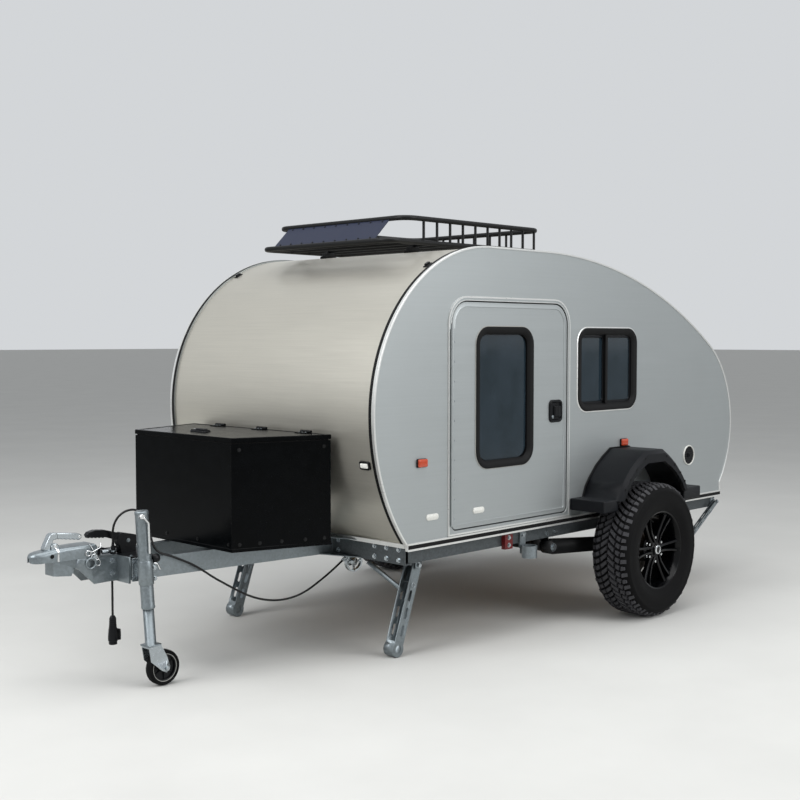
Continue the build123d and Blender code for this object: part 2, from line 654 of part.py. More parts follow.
cap_disc = Pos(0, 80, 0) * Rot(90, 0, 0) * Cylinder(32, 14)
drum = Pos(0, -60, 0) * Rot(90, 0, 0) * Cylinder(125, 50)
carrier = Pos(0, 10, 0) * Rot(90, 0, 0) * Cylinder(70, 112)
rim_all = rim_ring + spokes + cap_disc + drum + carrier
axle_hole = Pos(0, -60, 0) * Rot(90, 0, 0) * Cylinder(axle_r + 0.3, 200)
rim_all = rim_all - axle_hole
rim_left = Pos(wheel_x, wheel_y, tyre_r) * rim_all
save_pair("tyre", tyre)
save_pair("rim", rim_left)

# Legs: the front pair are wide slotted channels with a brace, the rear pair narrow channels
# that fold beside the rail. Each is drawn hanging from its hinge and then leaned.
def leg(width, half_y, length, leg_foot_r, lean_back, place):
    body = block((-width / 2, -half_y, -length), (width / 2, half_y, 0))
    body = body + Rot(90, 0, 0) * Cylinder(width / 2, 2 * half_y)
    body = body + Pos(0, 0, -length) * Rot(90, 0, 0) * Cylinder(leg_foot_r, 2 * half_y)
    channel_wall = 4
    inside_y = half_y - channel_wall
    body = body - block((-width / 2 + channel_wall, -inside_y, leg_foot_r - length), (width / 2 + 1, inside_y, width))
    for z in (-150, -235, -320):
        body = body - side_slab(Pos(0, z) * Rot(0, 0, 90) * SlotOverall(54, width * 0.28), -half_y - 4, half_y + 4)
    body = body - Rot(90, 0, 0) * Cylinder(width / 6, 80)
    return Pos(*place) * Rot(0, -lean_back, 0) * body


leg_half_y = 30
front_leg_length = (front_leg_z - front_foot_r) / math.cos(math.radians(front_leg_lean))
front_brace = rod((1258, front_leg_y - 24, 300), (1388, front_leg_y - 130, 444), 12)
front_leg = leg(front_leg_w, leg_half_y, front_leg_length, front_foot_r, front_leg_lean,
                (front_leg_x, front_leg_y, front_leg_z))
save_pair("leg_front", front_leg + front_brace)
rear_leg_length = (rear_leg_z - rear_foot_r) / math.cos(math.radians(rear_leg_down))
save_pair("leg_rear", leg(rear_leg_w, 12, rear_leg_length, rear_foot_r, rear_leg_lean,
                          (rear_leg_x, rear_leg_y, rear_leg_z)))

front_bracket = block((front_leg_x - 40, front_leg_y - 40, rail_low_z - 4), (front_leg_x + 40, inner_y, rail_low_z))
ear_y = leg_half_y + 7
for y in (front_leg_y - ear_y, front_leg_y + ear_y):
    ear = block((front_leg_x - 22, y - 2.5, front_leg_z - 16), (front_leg_x + 22, y + 2.5, rail_low_z - 4))
    front_bracket = front_bracket + ear
front_pin = rod((front_leg_x, front_leg_y - 40, front_leg_z), (front_leg_x, front_leg_y + 40, front_leg_z), 9.7)
outer_y = rail_y + rail_w / 2
rear_bracket = block((rail_rear_x, outer_y, rear_leg_z - 28), (rail_rear_x + 50, outer_y + 4, rear_leg_z + 28))
rear_pin = rod((rear_leg_x, outer_y, rear_leg_z), (rear_leg_x, rear_leg_y + 18, rear_leg_z), 4)
rear_pin_head = rod((rear_leg_x, rear_leg_y + 14, rear_leg_z), (rear_leg_x, rear_leg_y + 18, rear_leg_z), 9)
save("leg_brackets", both_sides(group(front_bracket + front_pin, rear_bracket + rear_pin + rear_pin_head)))

# Lamps, vents and the small oval covers
marker_table = (  # x, z
    (1329, 936),
    (-325, 933),
)
markers = []
for x, z in marker_table:
    markers.append(side_slab(rounded(x, z, 66, 42, 8), half, half + 18))
save("marker_lamps", both_sides(group(*markers)))
vent = Pos(-1019, half + 4, 812) * Rot(90, 0, 0) * Cylinder(60, 8)
oval = side_slab(Pos(1254, 676) * SlotOverall(84, 30), half, half + 8)
save("vents", both_sides(group(vent, oval)))
front_lamp = Pos(1605, 690, 940) * Rot(0, 8, 0) * Box(30, 60, 36)
front_lamp = front_lamp - side_slab(cabin_outline(skin_inset), 0, half)
save("front_lamps", both_sides(front_lamp))
tail_lamp = block((-1420, 470, 575), (-1380, 640, 625)) - side_slab(cabin_outline(skin_inset), 0, half)
save("tail_lamps", both_sides(tail_lamp))

# Stand clamp and red block on the near side rail
clamp_x = 540
clamp_y = 793
stand_post = block((clamp_x - 22, rail_y + rail_w / 2, 440), (clamp_x + 22, rail_y + rail_w / 2 + 10, 525))
stand_ring = Pos(clamp_x, clamp_y, 425) * (Cylinder(40, 62) - Cylinder(30.2, 70))
stand_web = block((clamp_x - 12, rail_y + rail_w / 2, 410), (clamp_x + 12, clamp_y - 35, 446))
save("stand_clamp", stand_post + stand_ring + stand_web)
save("rail_block", block((640, rail_y + rail_w / 2, 450), (700, rail_y + rail_w / 2 + 24, 525)))

# Cords: the plug's lead, and the lighting cable that loops up and then sags beside the drawbar
lead = rod((plug_x, plug_y, 300), (plug_x, plug_y, lead_top), plug_lead_r)
save("plug_lead", lead)
plug = rod((plug_x, plug_y, 172), (plug_x, plug_y, 200), 21) + Pos(plug_x, plug_y, 250) * Cone(21, 14, 100)
plug_cap = block((plug_x - 34, plug_y - 12, 190), (plug_x - 16, plug_y + 12, 228))
save("plug", plug + plug_cap)

cable_r = 5
cable_route = [
    cable_start, (2520, 44, 640), (2530, 60, 690), (2526, 86, 735), (2500, 108, 765),
    (2460, 126, 772), (2424, 134, 748), (2404, 144, 700), (2398, 154, 645), (2390, 164, 600),
    (2368, 174, 572), (2318, 184, 556), (2262, 190, 530), (2208, 196, 504), (2152, 202, 468),
    (2096, 208, 428), (2040, 214, 394), (1978, 221, 356), (1904, 230, 316), (1822, 239, 288),
    (1738, 249, 276), (1656, 258, 282), (1586, 267, 304), (1524, 275, 336), (1468, 282, 368),
    (1418, 287, 398), (1382, 292, 424),
]


def cable_arcs(route):
    radii = []
    for i in range(1, len(route) - 1):
        a, b, c = Vector(*route[i - 1]), Vector(*route[i]), Vector(*route[i + 1])
        turn = math.radians((b - a).get_angle(c - b))
        short = min((b - a).length, (c - b).length)
        radii.append(0.45 * short / math.tan(turn / 2))
    return radii


radii = cable_arcs(cable_route)
print("cable radii", [round(r) for r in radii])
cable_path = FilletPolyline(*cable_route, radius=radii)
cable = sweep(Plane(origin=cable_path @ 0, z_dir=cable_path % 0) * Circle(cable_r), path=cable_path)
print("cable length", round(cable_path.length), "volume ratio",
      round(cable.volume / (math.pi * cable_r ** 2 * cable_path.length), 4))
save("lighting_cable", cable)
ring_along = (1306 - bar_rear_x) / math.cos(math.radians(bar_angle))
ring_place = bar_place * Pos(ring_along, bar_flange / 2 + 16, -53)
ring = Rot(90, 0, 0) * (Cylinder(50, 18) - Cylinder(41, 20))
ring = ring + Rot(90, 0, 0) * Cylinder(20, 18) + block((-48, -4, -5), (48, 4, 5)) + block((-5, -4, -48), (5, 4, 48))
ring = ring_place * (ring + block((-22, -16, -20), (22, -6, 100)))
gland_end = Vector(*cable_route[-1])
gland_way = (gland_end - Vector(*cable_route[-2])).normalized()
gland = rod(gland_end, gland_end + gland_way * 44, 8)
save("cable_ring", ring + gland)
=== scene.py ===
import json
import math

import bmesh
import bpy
from mathutils import Matrix, Vector

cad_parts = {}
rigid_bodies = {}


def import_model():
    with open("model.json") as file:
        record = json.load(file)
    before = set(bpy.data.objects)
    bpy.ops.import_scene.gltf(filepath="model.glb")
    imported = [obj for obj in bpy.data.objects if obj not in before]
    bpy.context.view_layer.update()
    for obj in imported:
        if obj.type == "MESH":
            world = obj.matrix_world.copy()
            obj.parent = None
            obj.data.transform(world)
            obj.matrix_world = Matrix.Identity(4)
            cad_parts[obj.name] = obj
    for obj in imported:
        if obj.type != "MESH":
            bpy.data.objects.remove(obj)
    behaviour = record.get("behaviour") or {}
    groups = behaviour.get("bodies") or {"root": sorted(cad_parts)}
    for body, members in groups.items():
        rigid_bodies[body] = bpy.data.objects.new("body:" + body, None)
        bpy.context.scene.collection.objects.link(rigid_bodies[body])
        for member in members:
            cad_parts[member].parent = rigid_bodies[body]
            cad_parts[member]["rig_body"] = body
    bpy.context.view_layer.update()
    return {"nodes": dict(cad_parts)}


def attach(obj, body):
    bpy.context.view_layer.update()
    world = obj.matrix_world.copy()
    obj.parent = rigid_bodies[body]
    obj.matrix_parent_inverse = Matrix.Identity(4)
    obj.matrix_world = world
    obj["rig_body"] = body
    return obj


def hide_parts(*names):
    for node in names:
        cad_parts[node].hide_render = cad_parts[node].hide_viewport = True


bl_info = {
    "name": "Teardrop trailer",
    "version": (1, 0, 0),
    "blender": (4, 5, 0),
    "location": "3D View > Sidebar > Trailer",
    "description": "Dresses the packed teardrop trailer with its fittings and finishes",
    "category": "Object",
}

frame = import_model()

# Shapes below are drawn in millimetres from the cabin's middle, +X to the hitch. The packed
# model's origin lies this far forward of it, and its unit is the metre.
SHIFT = 690.0
TO_FRAME = Matrix.Translation((-SHIFT / 1000, 0, 0)) @ Matrix.Scale(0.001, 4)

HALF = 775.0  # half the body's width, to the outside of a side wall
WALL = 30.0
BASE_Z = 555.0  # the body's lower edge
FACE = 774.9  # where fittings on a wall start, just inside its face
NOSE, NOSE_R = (840.0, 1165.0), 800.0
ROOF_X, ROOF_Z, ROOF_R = 400.0, 1965.0, 3050.0
SKIN_OUT, SKIN_IN = 8, 32  # the skin's two faces, inside the wall's edge
DOOR_WINDOW = (720, 1223, 450, 700, 90)
SIDE_WINDOW = (-167, 1346, 560, 450, 82)
HANDLE = (307, 1135)
VENT = (-1019, 812)
WHEEL = Vector((-262, 965.5, 365))
TREAD_R = 364.8  # the tread's face, in the middle of the tyre
LEAN = math.radians(4)
JOCKEY = Vector((2469, 217, 520))
CASTOR = 52.0  # the jockey wheel's trail behind its swivel
BALL_X = 2860.0
PLUG_X = 2523.0
RACK_LOW, RACK_HIGH = 1990.0, 2107.0
SIDES = (("left", 1), ("right", -1))
AHEAD, ACROSS, UP = (1, 0, 0), (0, 1, 0), (0, 0, 1)

SATIN, BRUSHED, EXTRUDED = "satin anodised aluminium", "brushed aluminium", "extruded aluminium"
GALVANISED, ZINC, CHROME = "galvanised steel", "bright zinc", "chrome plate"
RUBBER, ABS, POWDER, ENAMEL = "EPDM rubber", "moulded ABS", "black powder coat", "gloss black enamel"


def linear(code):
    """An sRGB hex colour as the linear values that the renderer works in."""
    parts = [int(code[i:i + 2], 16) / 255 for i in (0, 2, 4)]
    return tuple(p / 12.92 if p <= 0.04045 else ((p + 0.055) / 1.055) ** 2.4 for p in parts)


def colour(name, about, code):
    return bpy.props.FloatVectorProperty(
        name=name, description=about, subtype="COLOR", size=3, min=0, max=1, default=linear(code))


def length(name, about, metres):
    return bpy.props.FloatProperty(
        name=name, description=about, default=metres, min=0.0001, soft_max=1, unit="LENGTH", precision=4)


class TrailerColours(bpy.types.PropertyGroup):
    """Colours of the trailer's finishes."""
    wall: colour("Side wall", "Satin aluminium sheet of the side walls and doors", "A4A9AA")
    skin: colour("Skin", "Brushed aluminium sheet over nose and roof", "C2BFB5")
    trim: colour("Trim", "Extruded aluminium of edge trims and door frames", "DCDDDB")
    zinc: colour("Galvanised steel", "Hot-dip galvanised chassis and drawbar", "7C8488")
    bright: colour("Bright zinc", "Zinc-plated coupling and fittings", "A9B0B4")
    plastic: colour("Black plastic", "Moulded fenders and frames", "0A0C10")
    box: colour("Toolbox", "Gloss black enamel of the toolbox", "040506")
    rack: colour("Rack", "Black powder coat of rack and axle parts", "0B0C0D")
    deflector: colour("Deflector", "Dark blue-black powder coat of the rack's front panel", "141C33")
    tyre: colour("Tyre", "Tyre rubber", "0A0A0B")
    marker: colour("Marker lens", "Amber lens of the side markers", "C0421C")
    floor: colour("Floor", "Pale floor under the trailer", "C9C9C6")


class TrailerSizes(bpy.types.PropertyGroup):
    """Sizes of the small pieces."""
    tread: length("Tread depth", "Depth of the grooves between the tyre's blocks", 0.013)
    pitches: bpy.props.IntProperty(
        name="Tread pitches", description="Equal tread steps round a tyre", default=30, min=12, max=72)
    spokes: bpy.props.IntProperty(
        name="Spoke pairs", description="Number of paired spokes in a wheel", default=6, min=3, max=12)
    bolt: length("Bolt head", "Radius of a chassis bolt's head", 0.009)
    knuckle: length("Hinge knuckle", "Radius of the door hinge's knuckles", 0.0078)
    tube: length("Rack tube", "Radius of the roof rack's main tubes", 0.013)


# Drawing functions: each adds a shape to the mesh that it takes first

PLANES = {
    "x": lambda u, v, w: (w, u, v),
    "y": lambda u, v, w: (u, w, v),
    "z": lambda u, v, w: (u, v, w),
}


def loft(bm, loops, ring=False):
    """Skins a row of point loops of equal length. ring joins the last loop to the first."""
    rows = [[bm.verts.new(p) for p in loop] for loop in loops]
    pairs = list(zip(rows, rows[1:]))
    if ring:
        pairs.append((rows[-1], rows[0]))
    count = len(rows[0])
    for a, b in pairs:
        for i in range(count):
            j = (i + 1) % count
            bm.faces.new((a[i], a[j], b[j], b[i]))
    if not ring:
        bm.faces.new(rows[0][::-1])
        bm.faces.new(rows[-1])


def oblong(low_u, low_v, high_u, high_v):
    return [(low_u, low_v), (high_u, low_v), (high_u, high_v), (low_u, high_v)]


def slab(bm, outline, low, high, axis="y"):
    """A flat outline given thickness along an axis."""
    place = PLANES[axis]
    loft(bm, [[place(u, v, w) for u, v in outline] for w in (low, high)])


def block(bm, low, high, place=Matrix()):
    corners = oblong(*low[:2], *high[:2])
    loft(bm, [[place @ Vector((u, v, w)) for u, v in corners] for w in (low[2], high[2])])


def strip(bm, runs, levels):
    """Skins between runs of points that lie side by side, each at its own level across the trailer."""
    loft(bm, [[(x, y, z) for (x, z), y in zip(points, levels)] for points in zip(*runs)])


def arc(centre, radius, start, end, steps):
    """Points on a circle, from one angle in degrees to another."""
    turns = [math.radians(start + (end - start) * i / steps) for i in range(steps + 1)]
    return [(centre[0] + radius * math.cos(a), centre[1] + radius * math.sin(a)) for a in turns]


def rounded(x, z, w, h, r, steps=7):
    """Outline of a rectangle with round corners."""
    r = max(r, 0.01)
    found = []
    for k, (sx, sz) in enumerate(((1, 1), (-1, 1), (-1, -1), (1, -1))):
        found += arc((x + sx * (w / 2 - r), z + sz * (h / 2 - r)), r, 90 * k, 90 * k + 90, steps)
    return found


def inset_rounded(x, z, w, h, r):
    return lambda inset: rounded(x, z, w - 2 * inset, h - 2 * inset, r - inset)


def mound(bm, outline, profile, axis="y", place=Matrix(), ring=False):
    """Stacks an outline that takes an inset, at each (inset, level) of a profile."""
    turn = PLANES[axis]
    loops = [[place @ Vector(turn(u, v, level)) for u, v in outline(inset)] for inset, level in profile]
    loft(bm, loops, ring)


def bands(bm, outline, profile, axis="y"):
    """Carries a closed profile of (inset, level) round an outline that takes an inset."""
    mound(bm, outline, profile, axis, ring=True)


def tube(bm, points, radius, sides=12, closed=False):
    """A round tube along points. radius is one number, or one for each point."""
    points = [Vector(p) for p in points]
    last = len(points) - 1
    turns = [2 * math.pi * k / sides for k in range(sides)]
    loops = []
    side = None
    for i, p in enumerate(points):
        before = points[i - 1] if i or closed else p
        after = points[(i + 1) % len(points)] if i < last or closed else p
        way = (after - before).normalized()
        side = side - way * side.dot(way) if side else way.orthogonal()
        side.normalize()
        up = way.cross(side)
        r = radius[i] if isinstance(radius, list) else radius
        loops.append([p + r * (math.cos(a) * side + math.sin(a) * up) for a in turns])
    loft(bm, loops, closed)


def lathe(bm, profile, centre, steps=48, way=ACROSS):
    """Turns a closed profile of (radius, height) about an axis through centre."""
    centre, way = Vector(centre), Vector(way).normalized()
    side = way.orthogonal().normalized()
    up = way.cross(side)
    loops = []
    for k in range(steps):
        a = 2 * math.pi * k / steps
        out = math.cos(a) * side + math.sin(a) * up
        loops.append([centre + way * h + out * max(r, 0.02) for r, h in profile])
    loft(bm, loops, ring=True)


def bend(points, radius, steps=6):
    """Rounds the corners of a run of points with arcs."""
    points = [Vector(p) for p in points]
    found = [points[0]]
    for a, b, c in zip(points, points[1:], points[2:]):
        u, v = (a - b).normalized(), (c - b).normalized()
        half = u.angle(v) / 2
        reach = min(radius / math.tan(half), 0.48 * (a - b).length, 0.48 * (c - b).length)
        r = reach * math.tan(half)
        middle = b + (u + v).normalized() * (r / math.sin(half))
        start, end = b + u * reach - middle, b + v * reach - middle
        for k in range(steps + 1):
            turn = start.slerp(end, k / steps) if start.angle(end) > 1e-4 else start
            found.append(middle + turn.normalized() * r)
    found.append(points[-1])
    return found


def flip(bm):
    """Turns the shape into its mirror image, on the trailer's other side."""
    for v in bm.verts:
        v.co.y = -v.co.y


def both(bm):
    """Adds the mirror image to the shape."""
    made = bmesh.ops.duplicate(bm, geom=bm.verts[:] + bm.edges[:] + bm.faces[:])["geom"]
    for v in made:
        if isinstance(v, bmesh.types.BMVert):
            v.co.y = -v.co.y


FLIP, BOTH = (flip,), (both,)


# Pieces: each is drawn by steps, a drawing function with what it takes after the mesh


def linked(name, data):
    obj = bpy.data.objects.new(name, data)
    bpy.context.scene.collection.objects.link(obj)
    return obj


def mesh_of(name, bm):
    mesh = bpy.data.meshes.new(name)
    bm.to_mesh(mesh)
    bm.free()
    return mesh


def dress(obj, finish, body, bevel=0.0, sharp=35.0):
    mesh = obj.data
    mesh.materials.clear()
    mesh.materials.append(bpy.data.materials[finish])
    mesh.shade_smooth()
    mesh.set_sharp_from_angle(angle=math.radians(sharp))
    if bevel:
        edge = obj.modifiers.new("Edge", "BEVEL")
        edge.width = bevel / 1000
        edge.segments = 2
        edge.limit_method = "ANGLE"
        edge.angle_limit = math.radians(sharp)
    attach(obj, body)
    return obj


def plain_object(name, steps):
    bm = bmesh.new()
    for draw, *given in steps:
        draw(bm, *given)
    bmesh.ops.recalc_face_normals(bm, faces=bm.faces[:])
    mesh = mesh_of(name, bm)
    mesh.transform(TO_FRAME)
    return linked(name, mesh)


def piece(name, finish, *steps, body="trailer", stands_for=None, **more):
    """Makes a finished object of a shape drawn in millimetres, and lets it ride on a body."""
    obj = dress(plain_object(name, steps), finish, body, **more)
    if stands_for:
        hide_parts(stands_for)
    return obj


def on_sides(name, finish, body, *steps, stands_for=None, **more):
    """One object for each side, each on its own body."""
    for side, sign in SIDES:
        turn = [FLIP] if sign < 0 else []
        piece(name + "_" + side, finish, *steps, *turn, body=body + "_" + side,
              stands_for=stands_for and stands_for + "_" + side, **more)


def smooth_copy(node, finish):
    """A merged, smoothly shaded copy of a CAD node, which then stands for it."""
    source = frame["nodes"][node]
    bm = bmesh.new()
    bm.from_mesh(source.data)
    bmesh.ops.remove_doubles(bm, verts=bm.verts[:], dist=1e-5)
    obj = linked(node + "_face", mesh_of(node + "_face", bm))
    dress(obj, finish, source["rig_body"], sharp=32)
    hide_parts(node)


# Trees that repeat a shape


def add(tree, kind, inputs=None, **settings):
    """Adds a node. inputs takes a socket's name or number to a value, or to a node or output to link."""
    node = tree.nodes.new(kind)
    for key, value in settings.items():
        setattr(node, key, value)
    for key, value in (inputs or {}).items():
        if isinstance(value, bpy.types.Node):
            value = value.outputs[0]
        if isinstance(value, bpy.types.NodeSocket):
            tree.links.new(value, node.inputs[key])
        else:
            node.inputs[key].default_value = value
    return node


def new_tree(name, sockets):
    tree = bpy.data.node_groups.new(name, "GeometryNodeTree")
    tree.interface.new_socket("Geometry", in_out="INPUT", socket_type="NodeSocketGeometry")
    tree.interface.new_socket("Geometry", in_out="OUTPUT", socket_type="NodeSocketGeometry")
    for label, kind in sockets.items():
        tree.interface.new_socket(label, in_out="INPUT", socket_type="NodeSocket" + kind)
    return tree, tree.nodes.new("NodeGroupInput").outputs


def end_tree(tree, copies, material):
    """Makes the copies real, gives them their material and hands them out."""
    real = add(tree, "GeometryNodeRealizeInstances", {0: copies})
    last = add(tree, "GeometryNodeSetMaterial", {"Geometry": real, "Material": material})
    add(tree, "NodeGroupOutput", {0: last})
    return tree


def repeat_tree():
    """Copies the piece a number of times, each copy turned and moved on by the same step."""
    tree, given = new_tree("Repeat", {
        "Count": "Int", "Turn": "Vector", "Centre": "Vector", "Step": "Vector", "Material": "Material"})
    index = add(tree, "GeometryNodeInputIndex")
    back = add(tree, "ShaderNodeVectorMath", {0: given["Centre"], "Scale": -1.0}, operation="SCALE")
    start = add(tree, "GeometryNodeTransform", {"Geometry": given["Geometry"], "Translation": back})
    moved = add(tree, "ShaderNodeVectorMath", {0: given["Step"], "Scale": index}, operation="SCALE")
    place = add(tree, "ShaderNodeVectorMath", {0: given["Centre"], 1: moved}, operation="ADD")
    turned = add(tree, "ShaderNodeVectorMath", {0: given["Turn"], "Scale": index}, operation="SCALE")
    turned = add(tree, "FunctionNodeEulerToRotation", {0: turned})
    points = add(tree, "GeometryNodePoints", {"Count": given["Count"], "Position": place})
    copies = add(tree, "GeometryNodeInstanceOnPoints", {
        "Points": points, "Instance": start, "Rotation": turned})
    return end_tree(tree, copies, given["Material"])


def bolt_tree():
    """Puts a hexagon head on a washer at each point, along the point's own direction."""
    tree, given = new_tree("Bolts", {
        "Head Radius": "Float", "Head Height": "Float", "Washer Radius": "Float", "Sides": "Int",
        "Material": "Material"})
    washer_h = add(tree, "ShaderNodeMath", {0: given["Head Height"], 1: 0.25}, operation="MULTIPLY")
    lift = add(tree, "ShaderNodeMath", {0: given["Head Height"], 1: 0.7}, operation="MULTIPLY")
    up = add(tree, "ShaderNodeCombineXYZ", {"Z": lift})
    head = add(tree, "GeometryNodeMeshCylinder", {
        "Vertices": given["Sides"], "Radius": given["Head Radius"], "Depth": given["Head Height"]})
    head = add(tree, "GeometryNodeTransform", {"Geometry": head, "Translation": up})
    washer = add(tree, "GeometryNodeMeshCylinder", {
        "Vertices": 20, "Radius": given["Washer Radius"], "Depth": washer_h})
    shape = add(tree, "GeometryNodeJoinGeometry", {0: head})
    tree.links.new(washer.outputs[0], shape.inputs[0])
    way = add(tree, "GeometryNodeInputNamedAttribute", {"Name": "way"}, data_type="FLOAT_VECTOR")
    turned = add(tree, "FunctionNodeAlignRotationToVector", {"Vector": way}, axis="Z")
    copies = add(tree, "GeometryNodeInstanceOnPoints", {
        "Points": given["Geometry"], "Instance": shape, "Rotation": turned})
    return end_tree(tree, copies, given["Material"])


TREES = {"Repeat": repeat_tree, "Bolts": bolt_tree}


def run_tree(obj, name, values):
    """Runs a tree on an object with the named inputs, and leaves the result as its plain mesh."""
    tree = bpy.data.node_groups.get(name) or TREES[name]()
    step = obj.modifiers.new("Repeat", "NODES")
    step.node_group = tree
    for item in tree.interface.items_tree:
        if item.item_type == "SOCKET" and item.in_out == "INPUT" and item.name in values:
            step[item.identifier] = values[item.name]
    bpy.context.view_layer.update()
    done = bpy.data.meshes.new_from_object(obj.evaluated_get(bpy.context.evaluated_depsgraph_get()))
    obj.modifiers.remove(step)
    obj.data = done


def repeated(name, finish, count, *steps, body="trailer", turn=(0, 0, 0), centre=(0, 0, 0), step=(0, 0, 0),
             **more):
    """A shape repeated by the tree. centre is a place and step a distance, in millimetres."""
    obj = plain_object(name, steps)
    run_tree(obj, "Repeat", {
        "Count": count, "Turn": turn, "Centre": TO_FRAME @ Vector(centre), "Step": Vector(step) / 1000,
        "Material": bpy.data.materials[finish]})
    dress(obj, finish, body, **more)


def bolts(name, places, finish=ZINC, body="trailer", size=(9, 7, 12), sides=6):
    """Bolts or screws at (place, direction) pairs. size is head radius, head height and washer radius."""
    mesh = bpy.data.meshes.new(name)
    mesh.from_pydata([TO_FRAME @ Vector(p) for p, way in places], [], [])
    ways = mesh.attributes.new("way", "FLOAT_VECTOR", "POINT")
    for i, (p, way) in enumerate(places):
        ways.data[i].vector = way
    obj = linked(name, mesh)
    head, height, washer = (mm / 1000 for mm in size)
    run_tree(obj, "Bolts", {
        "Head Radius": head, "Head Height": height, "Washer Radius": washer, "Sides": sides,
        "Material": bpy.data.materials[finish]})
    dress(obj, finish, body)


def both_ways(places):
    """Places and directions, with their mirror images."""
    return list(places) + [((p[0], -p[1], p[2]), (w[0], -w[1], w[2])) for p, w in places]


# Finishes


def shades(rgb, low, high):
    """A colour made darker or lighter by two factors."""
    return [tuple(min(1.0, c * factor) for c in rgb) for factor in (low, high)]


def finish(name, tones, spot_mm, rough, metallic=0.0, stretch=(1, 1, 1), bump_mm=0.0, soil=0.0,
           soil_colour="6E6A60", coat=0.0, ior=1.5, transmission=0.0, cells=False, specular=0.5):
    """A finish whose colour moves between two tones in spots of a real size, with fine relief and soiling."""
    made = bpy.data.materials.new(name)
    made.use_nodes = True
    tree = made.node_tree
    shader = tree.nodes["Principled BSDF"]
    values = {"Metallic": metallic, "Coat Weight": coat, "Coat Roughness": 0.08,
              "Specular IOR Level": specular, "Transmission Weight": transmission}
    if not metallic:
        values["IOR"] = ior
    for key, value in values.items():
        shader.inputs[key].default_value = value
    place = add(tree, "ShaderNodeTexCoord").outputs["Object"]
    fine = add(tree, "ShaderNodeMapping", {"Vector": place, "Scale": [s * 1000 / spot_mm for s in stretch]})
    if cells:
        spots = add(tree, "ShaderNodeTexVoronoi", {"Vector": fine, "Scale": 1.0, "Randomness": 1.0})
        spots = add(tree, "ShaderNodeSeparateColor", {0: spots.outputs["Color"]})
    else:
        spots = add(tree, "ShaderNodeTexNoise", {
            "Vector": fine, "Scale": 1.0, "Detail": 4.0, "Roughness": 0.6})
    ramp = add(tree, "ShaderNodeValToRGB", {0: spots})
    for stop, tone, position in zip(ramp.color_ramp.elements, tones, (0.1, 0.9) if cells else (0.3, 0.7)):
        stop.position = position
        stop.color = (*(linear(tone) if isinstance(tone, str) else tone), 1)
    base = ramp.outputs[0]
    if soil:
        dirt = add(tree, "ShaderNodeTexNoise", {
            "Vector": place, "Scale": 3.1, "Detail": 6.0, "Roughness": 0.65})
        amount = add(tree, "ShaderNodeMapRange", {
            0: dirt, "From Min": 0.45, "From Max": 0.8, "To Min": 0.0, "To Max": soil})
        mixed = add(tree, "ShaderNodeMix", {0: amount, 6: base, 7: (*linear(soil_colour), 1)},
                    data_type="RGBA")
        base = mixed.outputs[2]
    tree.links.new(base, shader.inputs["Base Color"])
    shine = add(tree, "ShaderNodeMapRange", {
        0: spots, "From Min": 0.25, "From Max": 0.75, "To Min": rough[0], "To Max": rough[1]}).outputs[0]
    tree.links.new(shine, shader.inputs["Roughness"])
    if bump_mm:
        relief = add(tree, "ShaderNodeBump", {"Height": spots, "Strength": 0.35, "Distance": bump_mm / 1000})
        tree.links.new(relief.outputs[0], shader.inputs["Normal"])
    return made


